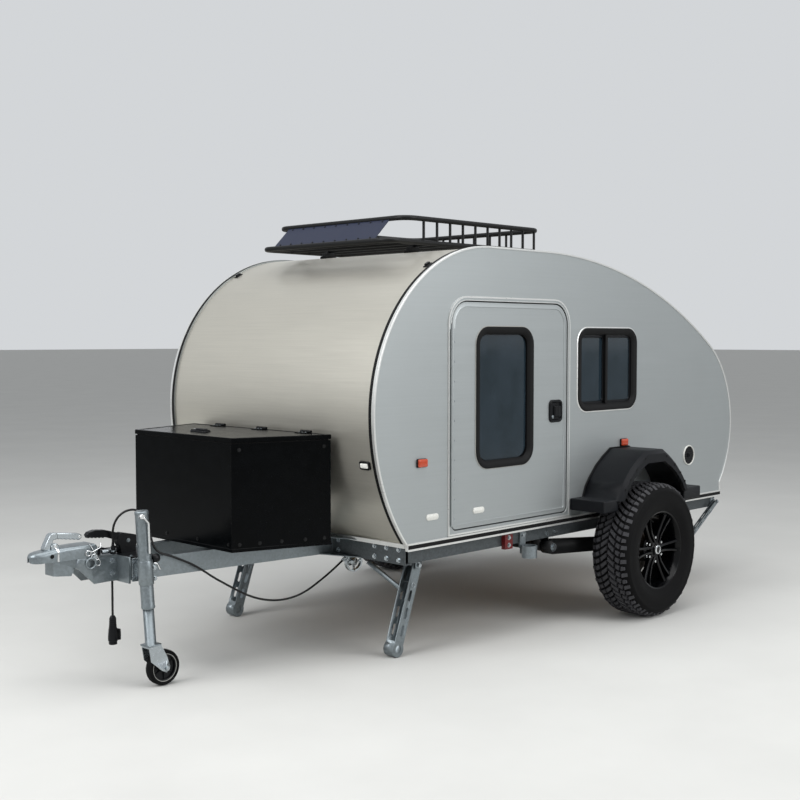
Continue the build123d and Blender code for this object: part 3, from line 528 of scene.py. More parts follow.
def make_finishes(c):
    """Every finish of the trailer, from the panel's colours."""
    # Rolled sheet, etched and anodised: an even satin with faint level rolling lines
    finish(SATIN, shades(c.wall, 0.97, 1.02), 9, (0.4, 0.46), 0.7, stretch=(0.012, 0.012, 1), soil=0.04)
    # Sheet brushed across the trailer: level streaks too fine to tell apart, which widen the reflections
    finish(BRUSHED, shades(c.skin, 0.95, 1.04), 4, (0.34, 0.42), 0.8, stretch=(1, 0.012, 1), bump_mm=0.015,
           soil=0.04)
    # Drawn through a die and left bare: pale, with fine lines along it
    finish(EXTRUDED, shades(c.trim, 0.95, 1), 4, (0.26, 0.36), 0.7, stretch=(0.1, 0.1, 1), soil=0.04)
    # Dipped in molten zinc and weathered: smooth, with faint leaf-like crystals about 8 mm across
    finish(GALVANISED, shades(c.zinc, 0.92, 1.08), 9, (0.3, 0.4), 0.75, cells=True, bump_mm=0.02, soil=0.12,
           soil_colour="5F5B52")
    # The same coat under the body, painted dark grey for the shade that falls there: painted shade, with
    # patches of road film over it
    finish("shade-darkened galvanised steel", shades(c.zinc, 0.3, 0.42), 9, (0.42, 0.55), 0.6, cells=True,
           bump_mm=0.02, soil=0.2, soil_colour="3A3833")
    # Electroplated: smoother and brighter than the dipped zinc
    finish(ZINC, shades(c.bright, 0.92, 1.06), 14, (0.18, 0.3), 0.9, soil=0.06)
    # Plated over nickel: a clear mirror with faint haze
    finish(CHROME, ("C9CBCC", "DADCDD"), 20, (0.06, 0.14), 1.0)
    # Extruded seal, matt and a little dusty
    finish(RUBBER, ("060607", "0C0C0D"), 3, (0.5, 0.7), bump_mm=0.05, ior=1.4, specular=0.25)
    finish("grey EPDM rubber", ("8C8C88", "A3A39E"), 3, (0.55, 0.75), bump_mm=0.05)
    # Injection moulded, with a fine etched grain and dust on its upper faces
    finish("moulded polypropylene", shades(c.plastic, 0.8, 1.35), 2, (0.42, 0.56), bump_mm=0.1, soil=0.03,
           soil_colour="2E2D2B", ior=1.45, specular=0.22)
    finish(ABS, shades(c.plastic, 0.6, 0.9), 5, (0.28, 0.4), bump_mm=0.03, specular=0.2)
    # Baked powder: a slight orange-peel
    finish(POWDER, shades(c.rack, 0.8, 1.25), 3, (0.36, 0.5), bump_mm=0.08, soil=0.03, soil_colour="2A2825",
           specular=0.22)
    finish("blue-black powder coat", shades(c.deflector, 0.85, 1.15), 3, (0.34, 0.46), bump_mm=0.1, soil=0.03,
           specular=0.3)
    # Sprayed over flat sheet: glossy, with wide soft waves and light dust
    finish(ENAMEL, shades(c.box, 0.8, 1.3), 60, (0.16, 0.24), bump_mm=0.08, soil=0.02, soil_colour="1A1917",
           specular=0.06)
    # Cast sheet, deeply tinted
    finish("tinted acrylic", ("222F37", "2D3A44"), 120, (0.05, 0.1), ior=1.49, transmission=0.3)
    # Moulded and vulcanised: dull, greyed where it has rolled
    finish("tyre rubber", shades(c.tyre, 0.7, 1.2), 6, (0.55, 0.7), bump_mm=0.1, soil=0.06,
           soil_colour="141312", ior=1.4, specular=0.12)
    # The same rubber on the blocks' faces, made much lighter: partly road wear and dust, partly painted
    # highlight
    finish("road-worn rubber with painted highlight", shades(c.tyre, 9, 16), 9, (0.5, 0.66), bump_mm=0.2, soil=0.12,
           soil_colour="3A362F", ior=1.4, specular=0.35)
    # Cast alloy, black enamel over it
    finish("black alloy", ("030304", "07080A"), 30, (0.14, 0.2), specular=0.18)
    # Moulded lenses and covers: clear faces over a plain colour
    finish("amber acrylic", shades(c.marker, 0.75, 1), 5, (0.12, 0.2), ior=1.49, coat=0.5)
    finish("red acrylic", ("7E0D0D", "A31414"), 5, (0.12, 0.2), ior=1.49, coat=0.5)
    finish("opal acrylic", ("DADAD4", "F0F0EC"), 6, (0.15, 0.25), ior=1.49, coat=0.4)
    finish("white ABS", ("CFCFC9", "E2E2DD"), 8, (0.28, 0.4), soil=0.08)
    # Brushed on by hand and chalked by weather; its dark red is painted shade, for the shade the block sits
    # in
    finish("shade-darkened red enamel", ("4E0D10", "6B1215"), 12, (0.3, 0.45), soil=0.1, specular=0.3)
    # Rotary-cut veneer: grain 3 mm wide and long, under a dull varnish
    finish("birch plywood", ("8F6F49", "BE9C6E"), 6, (0.45, 0.6), stretch=(0.05, 1, 1), soil=0.15)
    # Extruded over the wires, smooth and slightly waxy
    finish("PVC sheath", ("0A0A0B", "141415"), 5, (0.36, 0.48), bump_mm=0.03, specular=0.3)
    # Cast and left bare: a coarse skin with a film of rust
    finish("cast iron", ("25221F", "3B3733"), 3, (0.6, 0.8), 0.5, bump_mm=0.3, soil=0.3, soil_colour="6A3B22")


NODE_FINISH = {
    SATIN: ("side_wall_left", "side_wall_right", "door_left", "door_right", "rear_sill", "door_frames"),
    EXTRUDED: ("edge_trims",),
    "birch plywood": ("cabin_floor", "galley_bulkhead"),
    "tinted acrylic": ("door_glass_left", "door_glass_right", "side_window_glass"),
    GALVANISED: ("drawbar_rails",),
    # Chassis rails and cross members take the darkened galvanising: painted shade for the shade under the
    # body
    "shade-darkened galvanised steel": ("chassis_side_rails", "chassis_cross_members"),
    ENAMEL: ("toolbox", "toolbox_lid"),
    "blue-black powder coat": ("rack_deflector",),
    # The rail block's red is darkened: painted shade
    "shade-darkened red enamel": ("rail_block",),
}
SMOOTH_NODES = {
    GALVANISED: ("drawbar_head", "leg_brackets", "leg_front_left", "leg_front_right", "leg_rear_left",
                 "leg_rear_right", "jockey_stem", "stand_clamp"),
    ZINC: ("jockey_fork", "cable_ring"),
    "moulded polypropylene": ("fender_left", "fender_right"),
    ABS: ("hatch_handle",),
    POWDER: ("trailing_arms",),
    "red acrylic": ("tail_lamps",),
}


def outline_parts(inset):
    """The cabin's outline as its four arcs, nose foot first: centre, radius and two angles."""
    foot_x = 1425.0
    nose_x, nose_z = NOSE[0] + NOSE_R, NOSE[1]
    low_r = ((nose_x - foot_x) ** 2 + (nose_z - BASE_Z) ** 2) / (2 * (nose_x - foot_x))
    roof_c, roof_r = (ROOF_X, ROOF_Z - ROOF_R), ROOF_R - inset
    tail_c, tail_r = (-930.0, ROOF_Z - ROOF_R + math.sqrt(2460.0 ** 2 - 1330.0 ** 2)), 590.0 - inset
    low_c, low_r = (nose_x - low_r, nose_z), low_r - inset
    foot = math.degrees(math.asin((BASE_Z - nose_z) / low_r))
    join = math.degrees(math.atan2(tail_c[1] - roof_c[1], tail_c[0] - roof_c[0]))
    end = 180 - math.degrees(math.asin((620 - tail_c[1]) / tail_r))
    return {
        "nose foot": (low_c, low_r, foot, 0), "nose": (NOSE, NOSE_R - inset, 0, 90),
        "roof": (roof_c, roof_r, 90, join), "tail": (tail_c, tail_r, join, end)}


def outline_points(inset, start=None, stop=None, steps=28, foot=True):
    """Points of the cabin's outline between two places along it, each given as (stretch, angle)."""
    found = []
    parts = outline_parts(inset)
    names = list(parts)
    first = names.index(start[0]) if start else 0
    last = names.index(stop[0]) if stop else len(names) - 1
    for name in names[first:last + 1]:
        centre, radius, a, b = parts[name]
        a = start[1] if start and name == start[0] else a
        b = stop[1] if stop and name == stop[0] else b
        run = arc(centre, radius, a, b, steps)
        found += run if not found or math.dist(found[-1], run[0]) > 0.5 else run[1:]
    if foot:
        found.append((found[-1][0], BASE_Z + inset))
        found.append((found[0][0] - 0.35 * inset, BASE_Z + inset))
    return found


def on_roof(x):
    """The place on the roof arc of the skin's face at a distance along the trailer."""
    return "roof", 180 - math.degrees(math.acos((ROOF_X - x) / (ROOF_R - SKIN_OUT)))


def on_tail(z):
    centre, radius = outline_parts(SKIN_OUT)["tail"][:2]
    return "tail", 180 - math.degrees(math.asin((z - centre[1]) / radius))


def roof_height(x):
    """Height of the skin's face."""
    if x > NOSE[0]:
        return NOSE[1] + math.sqrt((NOSE_R - SKIN_OUT) ** 2 - (x - NOSE[0]) ** 2)
    if x > ROOF_X:
        return ROOF_Z - SKIN_OUT
    return ROOF_Z - ROOF_R + math.sqrt((ROOF_R - SKIN_OUT) ** 2 - (x - ROOF_X) ** 2)


def curved_sheet(bm, start, stop, half_width):
    """A sheet that follows the cabin's outline, from one side to the other."""
    upper, lower = (outline_points(inset, start, stop, foot=False) for inset in (SKIN_OUT, SKIN_IN))
    strip(bm, [upper, upper, lower, lower], [-half_width, half_width, half_width, -half_width])


def door_outline(gap):
    """The doorway's outline grown by a gap, with small lower corners that are sharp on the outer frame."""
    low_x, high_x, low_z, high_z = 212 - gap, 1118 + gap, 598 - gap, 1690 + gap
    top, low = 105 + gap, 2 if gap > 15 else 30 + gap
    corners = ((high_x - top, high_z - top, top), (low_x + top, high_z - top, top),
               (low_x + low, low_z + low, low), (high_x - low, low_z + low, low))
    return [p for k, (x, z, r) in enumerate(corners) for p in arc((x, z), r, 90 * k, 90 * k + 90, 8)]


def open_side(bm, profile):
    """A profile of (gap, level) round the doorway but for the nine points of its last corner."""
    strip(bm, [door_outline(gap)[:-9] for gap, level in profile], [level for gap, level in profile])


def build_skin():
    piece("nose_and_roof_skin", BRUSHED, (curved_sheet, None, on_roof(-760), HALF - WALL),
          stands_for="cabin_skin", sharp=20)
    # Small black clips near the top of the nose, one by each edge
    x = 1222
    place = (Matrix.Translation((x, 715, roof_height(x)))
             @ Matrix.Rotation(math.asin((x - NOSE[0]) / (NOSE_R - SKIN_OUT)), 4, "Y"))
    piece("nose_clips", ABS, (block, (-22, -13, -1), (22, 13, 4), place),
          (block, (-14, -8, 4), (14, 8, 13), place), BOTH, bevel=2)


def build_hatch():
    axis = (-763, 0, 1732)
    place = Matrix.Translation(axis) @ Matrix.Rotation(-math.asin(1163 / 3047.6), 4, "Y")
    piece("hatch_shell", BRUSHED, (curved_sheet, on_roof(-766), on_tail(640), 738),
          (block, (-40, -688, -6.6), (-5, 688, -2.5), place), body="hatch", stands_for="hatch", sharp=20)
    repeated("hatch_knuckles", EXTRUDED, 12,
             (lathe, [(1, 0), (5, 0), (5, 106), (1, 106)], (axis[0], -688, axis[2]), 14),
             body="hatch", step=(0, 115.4, 0))
    bolts("hatch_leaf_screws",
          [(place @ Vector((-26, -660 + 120 * i, -2.5)), (-0.38, 0, 0.92)) for i in range(12)],
          body="hatch", size=(4, 2, 5.5), sides=12)
    # Bulb seal down both edges of the hatch
    seal = [(9, 738.2), (9, 740.5), (20, 741.2), (31, 740.5), (31, 738.2)]
    runs = [outline_points(inset, on_roof(-772), on_tail(646), 20, foot=False) for inset, y in seal]
    piece("hatch_seals", RUBBER, (strip, runs, [y for inset, y in seal]), BOTH, body="hatch")


def build_trims():
    def edge(inset):
        return outline_points(inset, steps=64)

    # Bright corner strip on the wall's edge, and the strip along its foot
    lips = [(slab, oblong(-1393, low, 1424, high), 780, 784) for low, high in ((532, 541), (560, 568))]
    piece("wall_edge_trims", EXTRUDED,
          (bands, edge, [(0.4, 762), (-0.4, 762.3), (-0.4, 777), (0.9, 779.3), (8, 779.3), (9.5, 777.5),
                         (9.5, FACE), (0.4, FACE)]),
          (slab, [(-1393, 532), (1421, 532), (1427, 568), (-1393, 568)], 763, 780.4), *lips,
          (slab, [(1421, 546), (1431, 546), (1435, 566), (1421, 566)], 0, 762),
          BOTH, stands_for="edge_trims", sharp=25)
    # Black seal between that strip and the skin, and the insert of the foot strip
    piece("wall_edge_seals", RUBBER,
          (bands, edge, [(0.4, 743.2), (-0.35, 743.4), (-0.35, 762.4), (0.4, 762.4)]),
          (slab, oblong(-1392, 541.2, 1420, 559.8), 780.3, 781.2), BOTH)


WINDOW_PROFILE = [(0, FACE), (0.5, 780), (4, 783.4), (14, 784), (24, 781.5), (33, 775), (40, 768),
                  (40, 745.5), (22.4, 745.5), (22.4, FACE)]


def build_doors(sizes):
    # Outer frame: a ridge all round, and a second one beside the gap
    piece("door_frame_ridges", EXTRUDED,
          (bands, door_outline, [(19.5, 778.8), (20, 781), (27.5, 781), (28.4, 775)]),
          (open_side, [(6.3, 778.8), (6.8, 781), (9.6, 781), (10.4, 778.8)]), BOTH, sharp=25)
    piece("door_frame_faces", SATIN,
          (bands, door_outline, [(8, FACE), (8, 778.9), (26, 778.9), (26, FACE)]), BOTH, sharp=25)
    piece("doorway_seals", RUBBER, (open_side, [(3.4, 762), (3.4, 773), (5.8, 774.5), (5.8, 762)]), BOTH)
    # The leaf's own extruded border, its hinge and screws
    on_sides("door_border", SATIN, "door", (bands, door_outline, [
        (-1.0, FACE), (-1.4, 777), (-20, 777.2), (-22, 778), (-24, 777), (-24.5, FACE)]), sharp=25)
    r = sizes.knuckle * 1000
    for side, sign in SIDES:
        repeated("door_hinge_knuckles_" + side, SATIN, 10,
                 (lathe, [(2, 0), (r, 0), (r, 88), (2, 88)], (1126, sign * (HALF + 11), 620), 18, UP),
                 body="door_" + side, step=(0, 0, 94.2))
        bolts("door_hinge_screws_" + side,
              [((1106, sign * 780, 650 + 94.2 * i), (0, sign, 0)) for i in range(10)],
              body="door_" + side, size=(4, 2, 6), sides=12)
    # Window: rubber frame, pale outer lip
    window = inset_rounded(*DOOR_WINDOW)
    on_sides("door_window_frame", RUBBER, "door", (bands, window, WINDOW_PROFILE),
             stands_for="door_fittings", sharp=40)
    on_sides("door_window_lip", "grey EPDM rubber", "door", (bands, window, [
        (-3.5, FACE), (-3, 777.5), (-1, 778.8), (0.3, 778.5), (0.3, FACE)]), sharp=40)
    # Paddle lock: plate with a cup, the paddle and the cylinder
    x, z = HANDLE
    on_sides("door_lock_plate", ABS, "door",
             (bands, inset_rounded(x, z, 110, 118, 26), [
                 (0, FACE), (0, 780), (3, 784), (11, 784.5), (14, 782), (16, 778), (16, FACE)]),
             (slab, rounded(x, z, 80, 88, 10), FACE, 777), sharp=40)
    paddle = [(x - 34, 777), (x - 34, 786), (x - 25, 790), (x + 4, 789), (x + 15, 783), (x + 18, 777)]
    on_sides("door_lock_paddle", ABS, "door", (slab, paddle, z - 30, z + 26, "z"), bevel=2.5)
    on_sides("door_lock_cylinder", GALVANISED, "door",
             (lathe, [(0, 776.9), (9, 776.9), (9, 784), (7, 785), (0, 785)], (x + 29, 0, z - 30), 24),
             (slab, oblong(x + 28.2, z - 35, x + 29.8, z - 25), 785, 785.6))
    on_sides("door_oval", "white ABS", "door", (oval_cover, 922, 675), sharp=40)


def oval_cover(bm, x, z):
    """A small oval cover with a domed face and a raised bar across it."""
    bands(bm, inset_rounded(x, z, 84, 30, 15), [
        (0, FACE), (0.4, 779), (3, 781.5), (13, 782.5), (14.6, 781), (14.6, FACE)])
    slab(bm, rounded(x, z, 60, 6, 3), 779, 784)


def build_windows():
    x, z, w, h = SIDE_WINDOW[:4]
    window = inset_rounded(*SIDE_WINDOW)
    piece("side_window_frame", RUBBER, (bands, window, WINDOW_PROFILE),
          (slab, rounded(x + 17, z, 20, h - 78, 1), 758.5, 780), BOTH,
          stands_for="side_window_frames", sharp=40)
    piece("side_window_lip", EXTRUDED, (bands, window, [
        (-6.5, FACE), (-6, 776.6), (-1, 778.8), (0.3, 778.5), (0.3, FACE)]), BOTH, sharp=40)
    # Sashes of the two panes, the front one sliding in front of the other
    sashes = []
    for low, high, out in ((x - w / 2 + 41, x + 12, 760), (x + 22, x + w / 2 - 41, 763)):
        sashes.append((bands, inset_rounded((low + high) / 2, z, high - low, h - 84, 30), [
            (0, out - 1.5), (0, out + 3), (9, out + 3), (11, out - 1.5)]))
    piece("side_window_sashes", ABS, *sashes, BOTH, sharp=40)
    piece("side_window_catches", ABS, (slab, rounded(x + 2, z - 10, 10, 60, 4), 762, 770), BOTH, bevel=1.5)


def build_lamps():
    bases, lenses = [], []
    for x, z in ((1329, 936), (-325, 933)):
        bases += [(bands, inset_rounded(x, z, 66, 42, 8), [
            (0, FACE), (0.5, 783), (2, 785), (5, 785), (6, 780), (6, FACE)]),
            (slab, rounded(x, z, 57, 33, 5), 775.2, 778)]
        lenses.append((mound, inset_rounded(x, z, 62, 38, 7), [
            (0, 784.8), (0.4, 788.5), (3, 791), (9, 792), (14, 792.3)]))
    piece("side_marker_bases", ABS, *bases, BOTH, sharp=40)
    piece("side_marker_lenses", "amber acrylic", *lenses, BOTH, stands_for="marker_lamps", sharp=50)
    # Front position lamps on the nose, each in a dark bezel
    place = Matrix.Translation((1604.6, 690, 940)) @ Matrix.Rotation(math.radians(13.5), 4, "Y")
    piece("front_lamp_bezels", ABS, (mound, inset_rounded(0, 0, 66, 40, 9), [
        (0, -1), (0.3, 9), (3, 12), (7, 12), (8, 6)], "x", place), BOTH, sharp=40)
    piece("front_lamp_lenses", "opal acrylic", (mound, inset_rounded(0, 0, 49, 23, 6), [
        (0, 6), (0.5, 13), (3, 15.5), (8, 16.5)], "x", place), BOTH, stands_for="front_lamps", sharp=50)
    # Round vent: white ring, dark core with level slats
    x, z = VENT
    piece("vent_rings_and_ovals", "white ABS",
          (lathe, [(53.5, FACE), (53.5, 780), (55, 783), (58, 783.3), (60, 780), (60, FACE)], (x, 0, z)),
          (oval_cover, 1254, 676), BOTH, stands_for="vents", sharp=40)
    slats = []
    for k in range(-3, 4):
        reach = math.sqrt(53 ** 2 - (14 * k) ** 2)
        slats.append((slab, oblong(x - reach, z + 14 * k - 1, x + reach, z + 14 * k + 1), 776, 781))
    piece("vent_cores", ABS, (lathe, [(0, 775), (54, 775), (54, 777), (0, 777)], (x, 0, z), 40),
          (lathe, [(8, 777), (12, 777), (12, 781.5), (8, 782)], (x, 0, z), 24), *slats, BOTH)


def crown(w):
    """Radius of the tread's face at a place across the tyre."""
    w = abs(w)
    if w <= 77:
        return TREAD_R - 2.2 * (w / 77) ** 2
    return 362.6 - (w - 77) * 0.32 if w < 98 else 355.9 - (w - 98) * 1.9


def tread_block(bm, corners, depth):
    """One block of tread. corners are (distance round, place across), in millimetres on the tyre's face."""
    middle = [sum(c[k] for c in corners) / len(corners) for k in (0, 1)]
    loops = []
    for down, along, across in ((depth, 1, 1), (0, 0.88, 0.94)):
        loop = []
        for s, w in corners:
            w = middle[1] + (w - middle[1]) * across
            a = (middle[0] + (s - middle[0]) * along) / WHEEL.z
            r = crown(w) - down
            loop.append(WHEEL + Vector((r * math.sin(a), w, r * math.cos(a))))
        loops.append(loop)
    loft(bm, loops)


def build_tyres(sizes):
    depth = sizes.tread * 1000
    base = TREAD_R - depth
    half = [(204, 92), (210, 99), (221, 103), (233, 106), (247, 112.4), (267, 116.4), (292, 117.3),
            (314, 115), (318, 116), (324, 115.4), (330, 112), (340, 106), (base - 5, 96), (base - 0.5, 82),
            (base, 50), (base, 20)]
    profile = half + [(r, -w) for r, w in reversed(half)]
    # Slanted blocks from the middle to the shoulder, as a pair on each half, drawn on a pitch of 50
    row = (
        [(0, 3), (15, 3), (36, 39), (21, 43)], [(23, 52), (38, 48), (46, 71), (31, 75)],
        [(31, 83), (47, 80), (47, 107), (31, 107)], [(25, 3), (40, 3), (61, 39), (46, 43)],
        [(48, 52), (63, 48), (71, 71), (56, 75)], [(56, 83), (72, 80), (70, 100), (58, 100)],
    )
    unit = 2 * math.pi * WHEEL.z / sizes.pitches / 50
    tread = [(tread_block, [(s * unit, w) for s, w in corners], depth + 4)
             for corners in [*row, *([(s + 12, -w) for s, w in corners] for corners in row)]]
    for side, sign in SIDES:
        turned = [FLIP] if sign < 0 else []
        piece("tyre_carcass_" + side, "tyre rubber", (lathe, profile, WHEEL, 96), *turned,
              body="wheel_" + side, stands_for="tyre_" + side, sharp=30)
        # The tread blocks take the lighter rubber: painted highlight on their faces, with road wear
        repeated("tyre_tread_" + side, "road-worn rubber with painted highlight", sizes.pitches, *tread, *turned,
                 body="wheel_" + side, turn=(0, 2 * math.pi / sizes.pitches, 0),
                 centre=(WHEEL.x, sign * WHEEL.y, WHEEL.z), sharp=30)


def build_rims(sizes):
    half_step = Matrix.Rotation(math.pi / sizes.spokes, 3, "Y")
    for side, sign in SIDES:
        centre = Vector((WHEEL.x, sign * WHEEL.y, WHEEL.z))
        out = Vector((0, sign, 0))
        body = "wheel_" + side

        def turned(name, finish, profile, steps, *more, sharp=35):
            piece(name + "_" + side, finish, (lathe, profile, centre, steps, out), *more, body=body,
                  stands_for="rim_" + side if name == "rim_barrel" else None, sharp=sharp)

        turned("rim_barrel", "black alloy", [
            (204, -94), (213, -97), (217, -93), (209, -86), (201, -70), (199, 60), (206, 84), (215, 90),
            (217, 97), (212, 100), (205, 97), (197, 82), (190, 62), (187, 30), (187, -74), (194, -92)],
            72, sharp=30)
        # One pair of spokes, narrow in front and deeper behind
        pair = []
        for lean in (1, -1):
            loops = []
            for r, t, w, front, back in ((36, 14, 16, 74, 46), (92, 16, 14, 70, 44), (148, 21, 13, 76, 48),
                                         (197, 28, 16, 86, 50)):
                corners = ((-w / 2, front), (w / 2, front - 3), (w / 2 + 1, back), (-w / 2 - 1, back))
                loops.append([centre + half_step @ Vector((lean * (t + e) * sign, 0, r)) + out * f
                              for e, f in corners])
            pair.append((loft, loops))
        repeated("rim_spokes_" + side, "black alloy", sizes.spokes, *pair, body=body,
                 turn=(0, 2 * math.pi / sizes.spokes, 0), centre=centre, bevel=2.5)
        turned("rim_hub", "black alloy", [
            (0.5, 36), (84, 36), (86, 44), (82, 50), (50, 52), (45, 68), (36, 73), (0.5, 66)], 48,
            (lathe, [(0.5, 60), (30, 60), (30, 76), (22, 82), (19, 84), (0.5, 84.5)], centre, 40, out),
            sharp=30)
        turned("cap_ring", CHROME, [(17, 83.5), (24, 80), (25.5, 83), (23, 86.5), (18.5, 87.5)], 40)
        nut = [(1, 48), (11, 48), (11, 54), (9, 55), (9, 66), (7.5, 69), (1, 70)]
        repeated("wheel_nuts_" + side, CHROME, 6, (lathe, nut, centre + Vector((0, 0, 66)), 6, out),
                 body=body, turn=(0, math.pi / 3, 0), centre=centre)
        ribs = [(lathe, [(126, z - 8), (133, z - 6), (133, z - 2), (126, z)], centre, 48, out)
                for z in (-70, -56, -42)]
        turned("brake_drum", "cast iron", [
            (23, -90), (174, -90), (176, -84), (140, -80), (128, -76), (128, -38), (118, -34), (74, -30),
            (74, 42), (23, 42)], 48, *ribs)
        lean = Vector((math.sin(0.5), 0, math.cos(0.5)))
        ends = [centre + out * 84 + lean * 198, centre + out * 108 + lean * 188]
        piece("tyre_valve_" + side, RUBBER, (tube, ends, [5, 4], 10), body=body)


def build_fenders():
    middle = -285
    rise = [(62, 655), (38, 715), (-2, 765), (-58, 821), (-122, 867), (-194, 908)]
    spots = [(8, 712), (-40, 763), (-95, 811), (-180, 866)]
    spots += [(2 * middle - x, z) for x, z in spots]
    for side, sign in SIDES:
        # Screws low on the outer band, and a rubber welt where the fender meets the wall
        bolts("fender_screws_" + side, [((x, sign * 1020.2, z), (0, sign, 0)) for x, z in spots], POWDER,
              size=(5, 2.4, 8), sides=14)
        front = [(x, sign * 778, z) for x, z in rise]
        rear = [(2 * middle - x, y, z) for x, y, z in reversed(front)]
        piece("fender_welt_" + side, RUBBER, (tube, front + rear, 4.5, 10))


def build_toolbox():
    # Three hinges: knuckles on the rear edge, leaves with screws, and the leaves on the box
    for i, y in enumerate((-293, 35, 360)):
        repeated("lid_knuckles_%d" % i, POWDER, 5,
                 (lathe, [(1.5, 0), (7, 0), (7, 12.5), (1.5, 12.5)], (1674, y - 35, 1080), 16),
                 body="toolbox_lid", step=(0, 14.4, 0))
        bolts("lid_screws_%d" % i, [((1696, y + s, 1078), UP) for s in (-22, 0, 22)], body="toolbox_lid",
              size=(3.6, 2, 5), sides=12)
        piece("lid_fixed_leaf_%d" % i, POWDER, (block, (1664.5, y - 35, 1022), (1668.2, y + 35, 1052)),
              bevel=0.8)

    # Folded hem round the lid, and a rubber seal below it
    def plan(inset):
        return [(1668 + inset, -524 + 1.05 * inset), (1668 + inset, 524 - 1.05 * inset),
                (2123 - inset, 376 - 0.95 * inset), (2123 - inset, -376 + 0.95 * inset)]

    piece("lid_hem", ENAMEL, (bands, plan, [
        (-1.8, 1055), (-1.8, 1073), (0.5, 1075.6), (14, 1076), (16, 1074), (0.4, 1073.6), (0.4, 1055)], "z"),
        body="toolbox_lid", bevel=0.8)
    piece("box_mouth_seal", RUBBER, (bands, plan, [
        (6, 1049), (6, 1052.5), (9, 1053.4), (12, 1052.5), (12, 1049)], "z"))
    # Corner seams and a bottom flange
    corners = [(x + (3 if x < 2000 else -3), y - math.copysign(3.2, y)) for x, y in plan(0)]
    seams = [(tube, [(x, y, z) for z in (583, 1048)], 4.2, 10) for x, y in corners]
    piece("box_flange_and_corners", ENAMEL,
          (bands, plan, [(-2.5, 567), (-2.5, 581), (-0.5, 583), (0.3, 567)], "z"), *seams, sharp=40)
    # Lever latch on the lid, with a lock
    piece("lid_latch", ABS,
          (mound, inset_rounded(1970, -60, 52, 108, 12), [
              (0, 1073.6), (0, 1078), (2, 1080.5), (6, 1081)], "z"),
          (mound, inset_rounded(1970, -50, 26, 74, 9), [(0, 1080.5), (0.6, 1087), (3, 1089)], "z"),
          body="toolbox_lid", sharp=45)
    piece("lid_lock", CHROME, (lathe, [
        (0.5, 1080.5), (9, 1080.5), (9, 1085), (7.4, 1086), (0.5, 1086)], (1970, -101, 0), 24, UP),
        body="toolbox_lid")
    # Fastenings low on the slanted sides and on the front
    slope = math.atan2(148, 455)
    normal = Vector((math.sin(slope), math.cos(slope), 0))
    spots = ((1700, 600), (1700, 1022), (2090, 600), (2090, 1022), (1790, 600), (1900, 600), (2000, 600))
    places = [(Vector((x, 524 - (x - 1668) * 148 / 455, z)) + 0.6 * normal, normal) for x, z in spots]
    bolts("box_side_screws", both_ways(places), POWDER, size=(6, 3, 9), sides=12)
    bolts("box_front_screws", [((2123.6, y, 600), AHEAD) for y in (-350, -120, 120, 350)], POWDER,
          size=(6, 3, 9), sides=12)


def build_rack(sizes):
    rear_x = 64
    rings = []
    for front_x, z in ((1250, RACK_LOW), (1130, RACK_HIGH)):
        ring = rounded((front_x + rear_x) / 2, 0, front_x - rear_x, 960, 70, 8)
        rings.append((tube, [(x, y, z) for x, y in ring], sizes.tube * 1000, 16, True))
    rear = [(tube, [(rear_x, 120 * k, z) for z in (RACK_LOW, RACK_HIGH)], 7, 12) for k in range(-3, 4)]
    bars = [(tube, [(185 + 121 * i, y, RACK_LOW) for y in (-480, 480)], 9, 12) for i in range(9)]
    piece("rack_rings_and_bars", POWDER, *rings, *rear, *bars, stands_for="rack_basket", sharp=50)
    for side, sign in SIDES:
        repeated("rack_uprights_" + side, POWDER, 10,
                 (tube, [(118, sign * 480, z) for z in (RACK_LOW, RACK_HIGH)], 7, 12), step=(98, 0, 0))
    # Feet: a rubber pad that follows the roof, a saddle, a strap over the bar and two nuts
    pads, saddles, nuts = [], [], []
    for x in (911, 548, 185):
        low = [(x + e, roof_height(x + e)) for e in (-40, 0, 40)]
        top = max(z for _, z in low) + 6
        pads.append((slab, [*low, (x + 38, top), (x - 38, top)], 296, 344))
        saddles += [(slab, [(x - 34, top), (x + 34, top), (x + 30, 1981), (x - 30, 1981)], 304, 336),
                    (slab, [(x - 16, 1980), (x + 16, 1980), (x + 12, 2002), (x - 12, 2002)], 308, 332)]
        nuts += [((x, y, 2002), UP) for y in (313, 327)]
    piece("rack_foot_pads", RUBBER, *pads, BOTH, bevel=1.5)
    piece("rack_saddles", POWDER, *saddles, BOTH, bevel=1.5)
    bolts("rack_nuts", both_ways(nuts), size=(4, 3, 6))
    # Rivets along the deflector's long edges
    rise = RACK_HIGH - RACK_LOW
    way, normal = Vector((-120, 0, rise)).normalized(), Vector((rise, 0, 120)).normalized()
    middle = Vector((1190, 0, (RACK_LOW + RACK_HIGH) / 2))
    places = [(middle + way * e + Vector((0, -340 + 85 * k, 0)) + normal * 3.2, normal)
              for k in range(9) for e in (-61, 61)]
    bolts("deflector_rivets", places, POWDER, size=(4, 2, 6), sides=12)


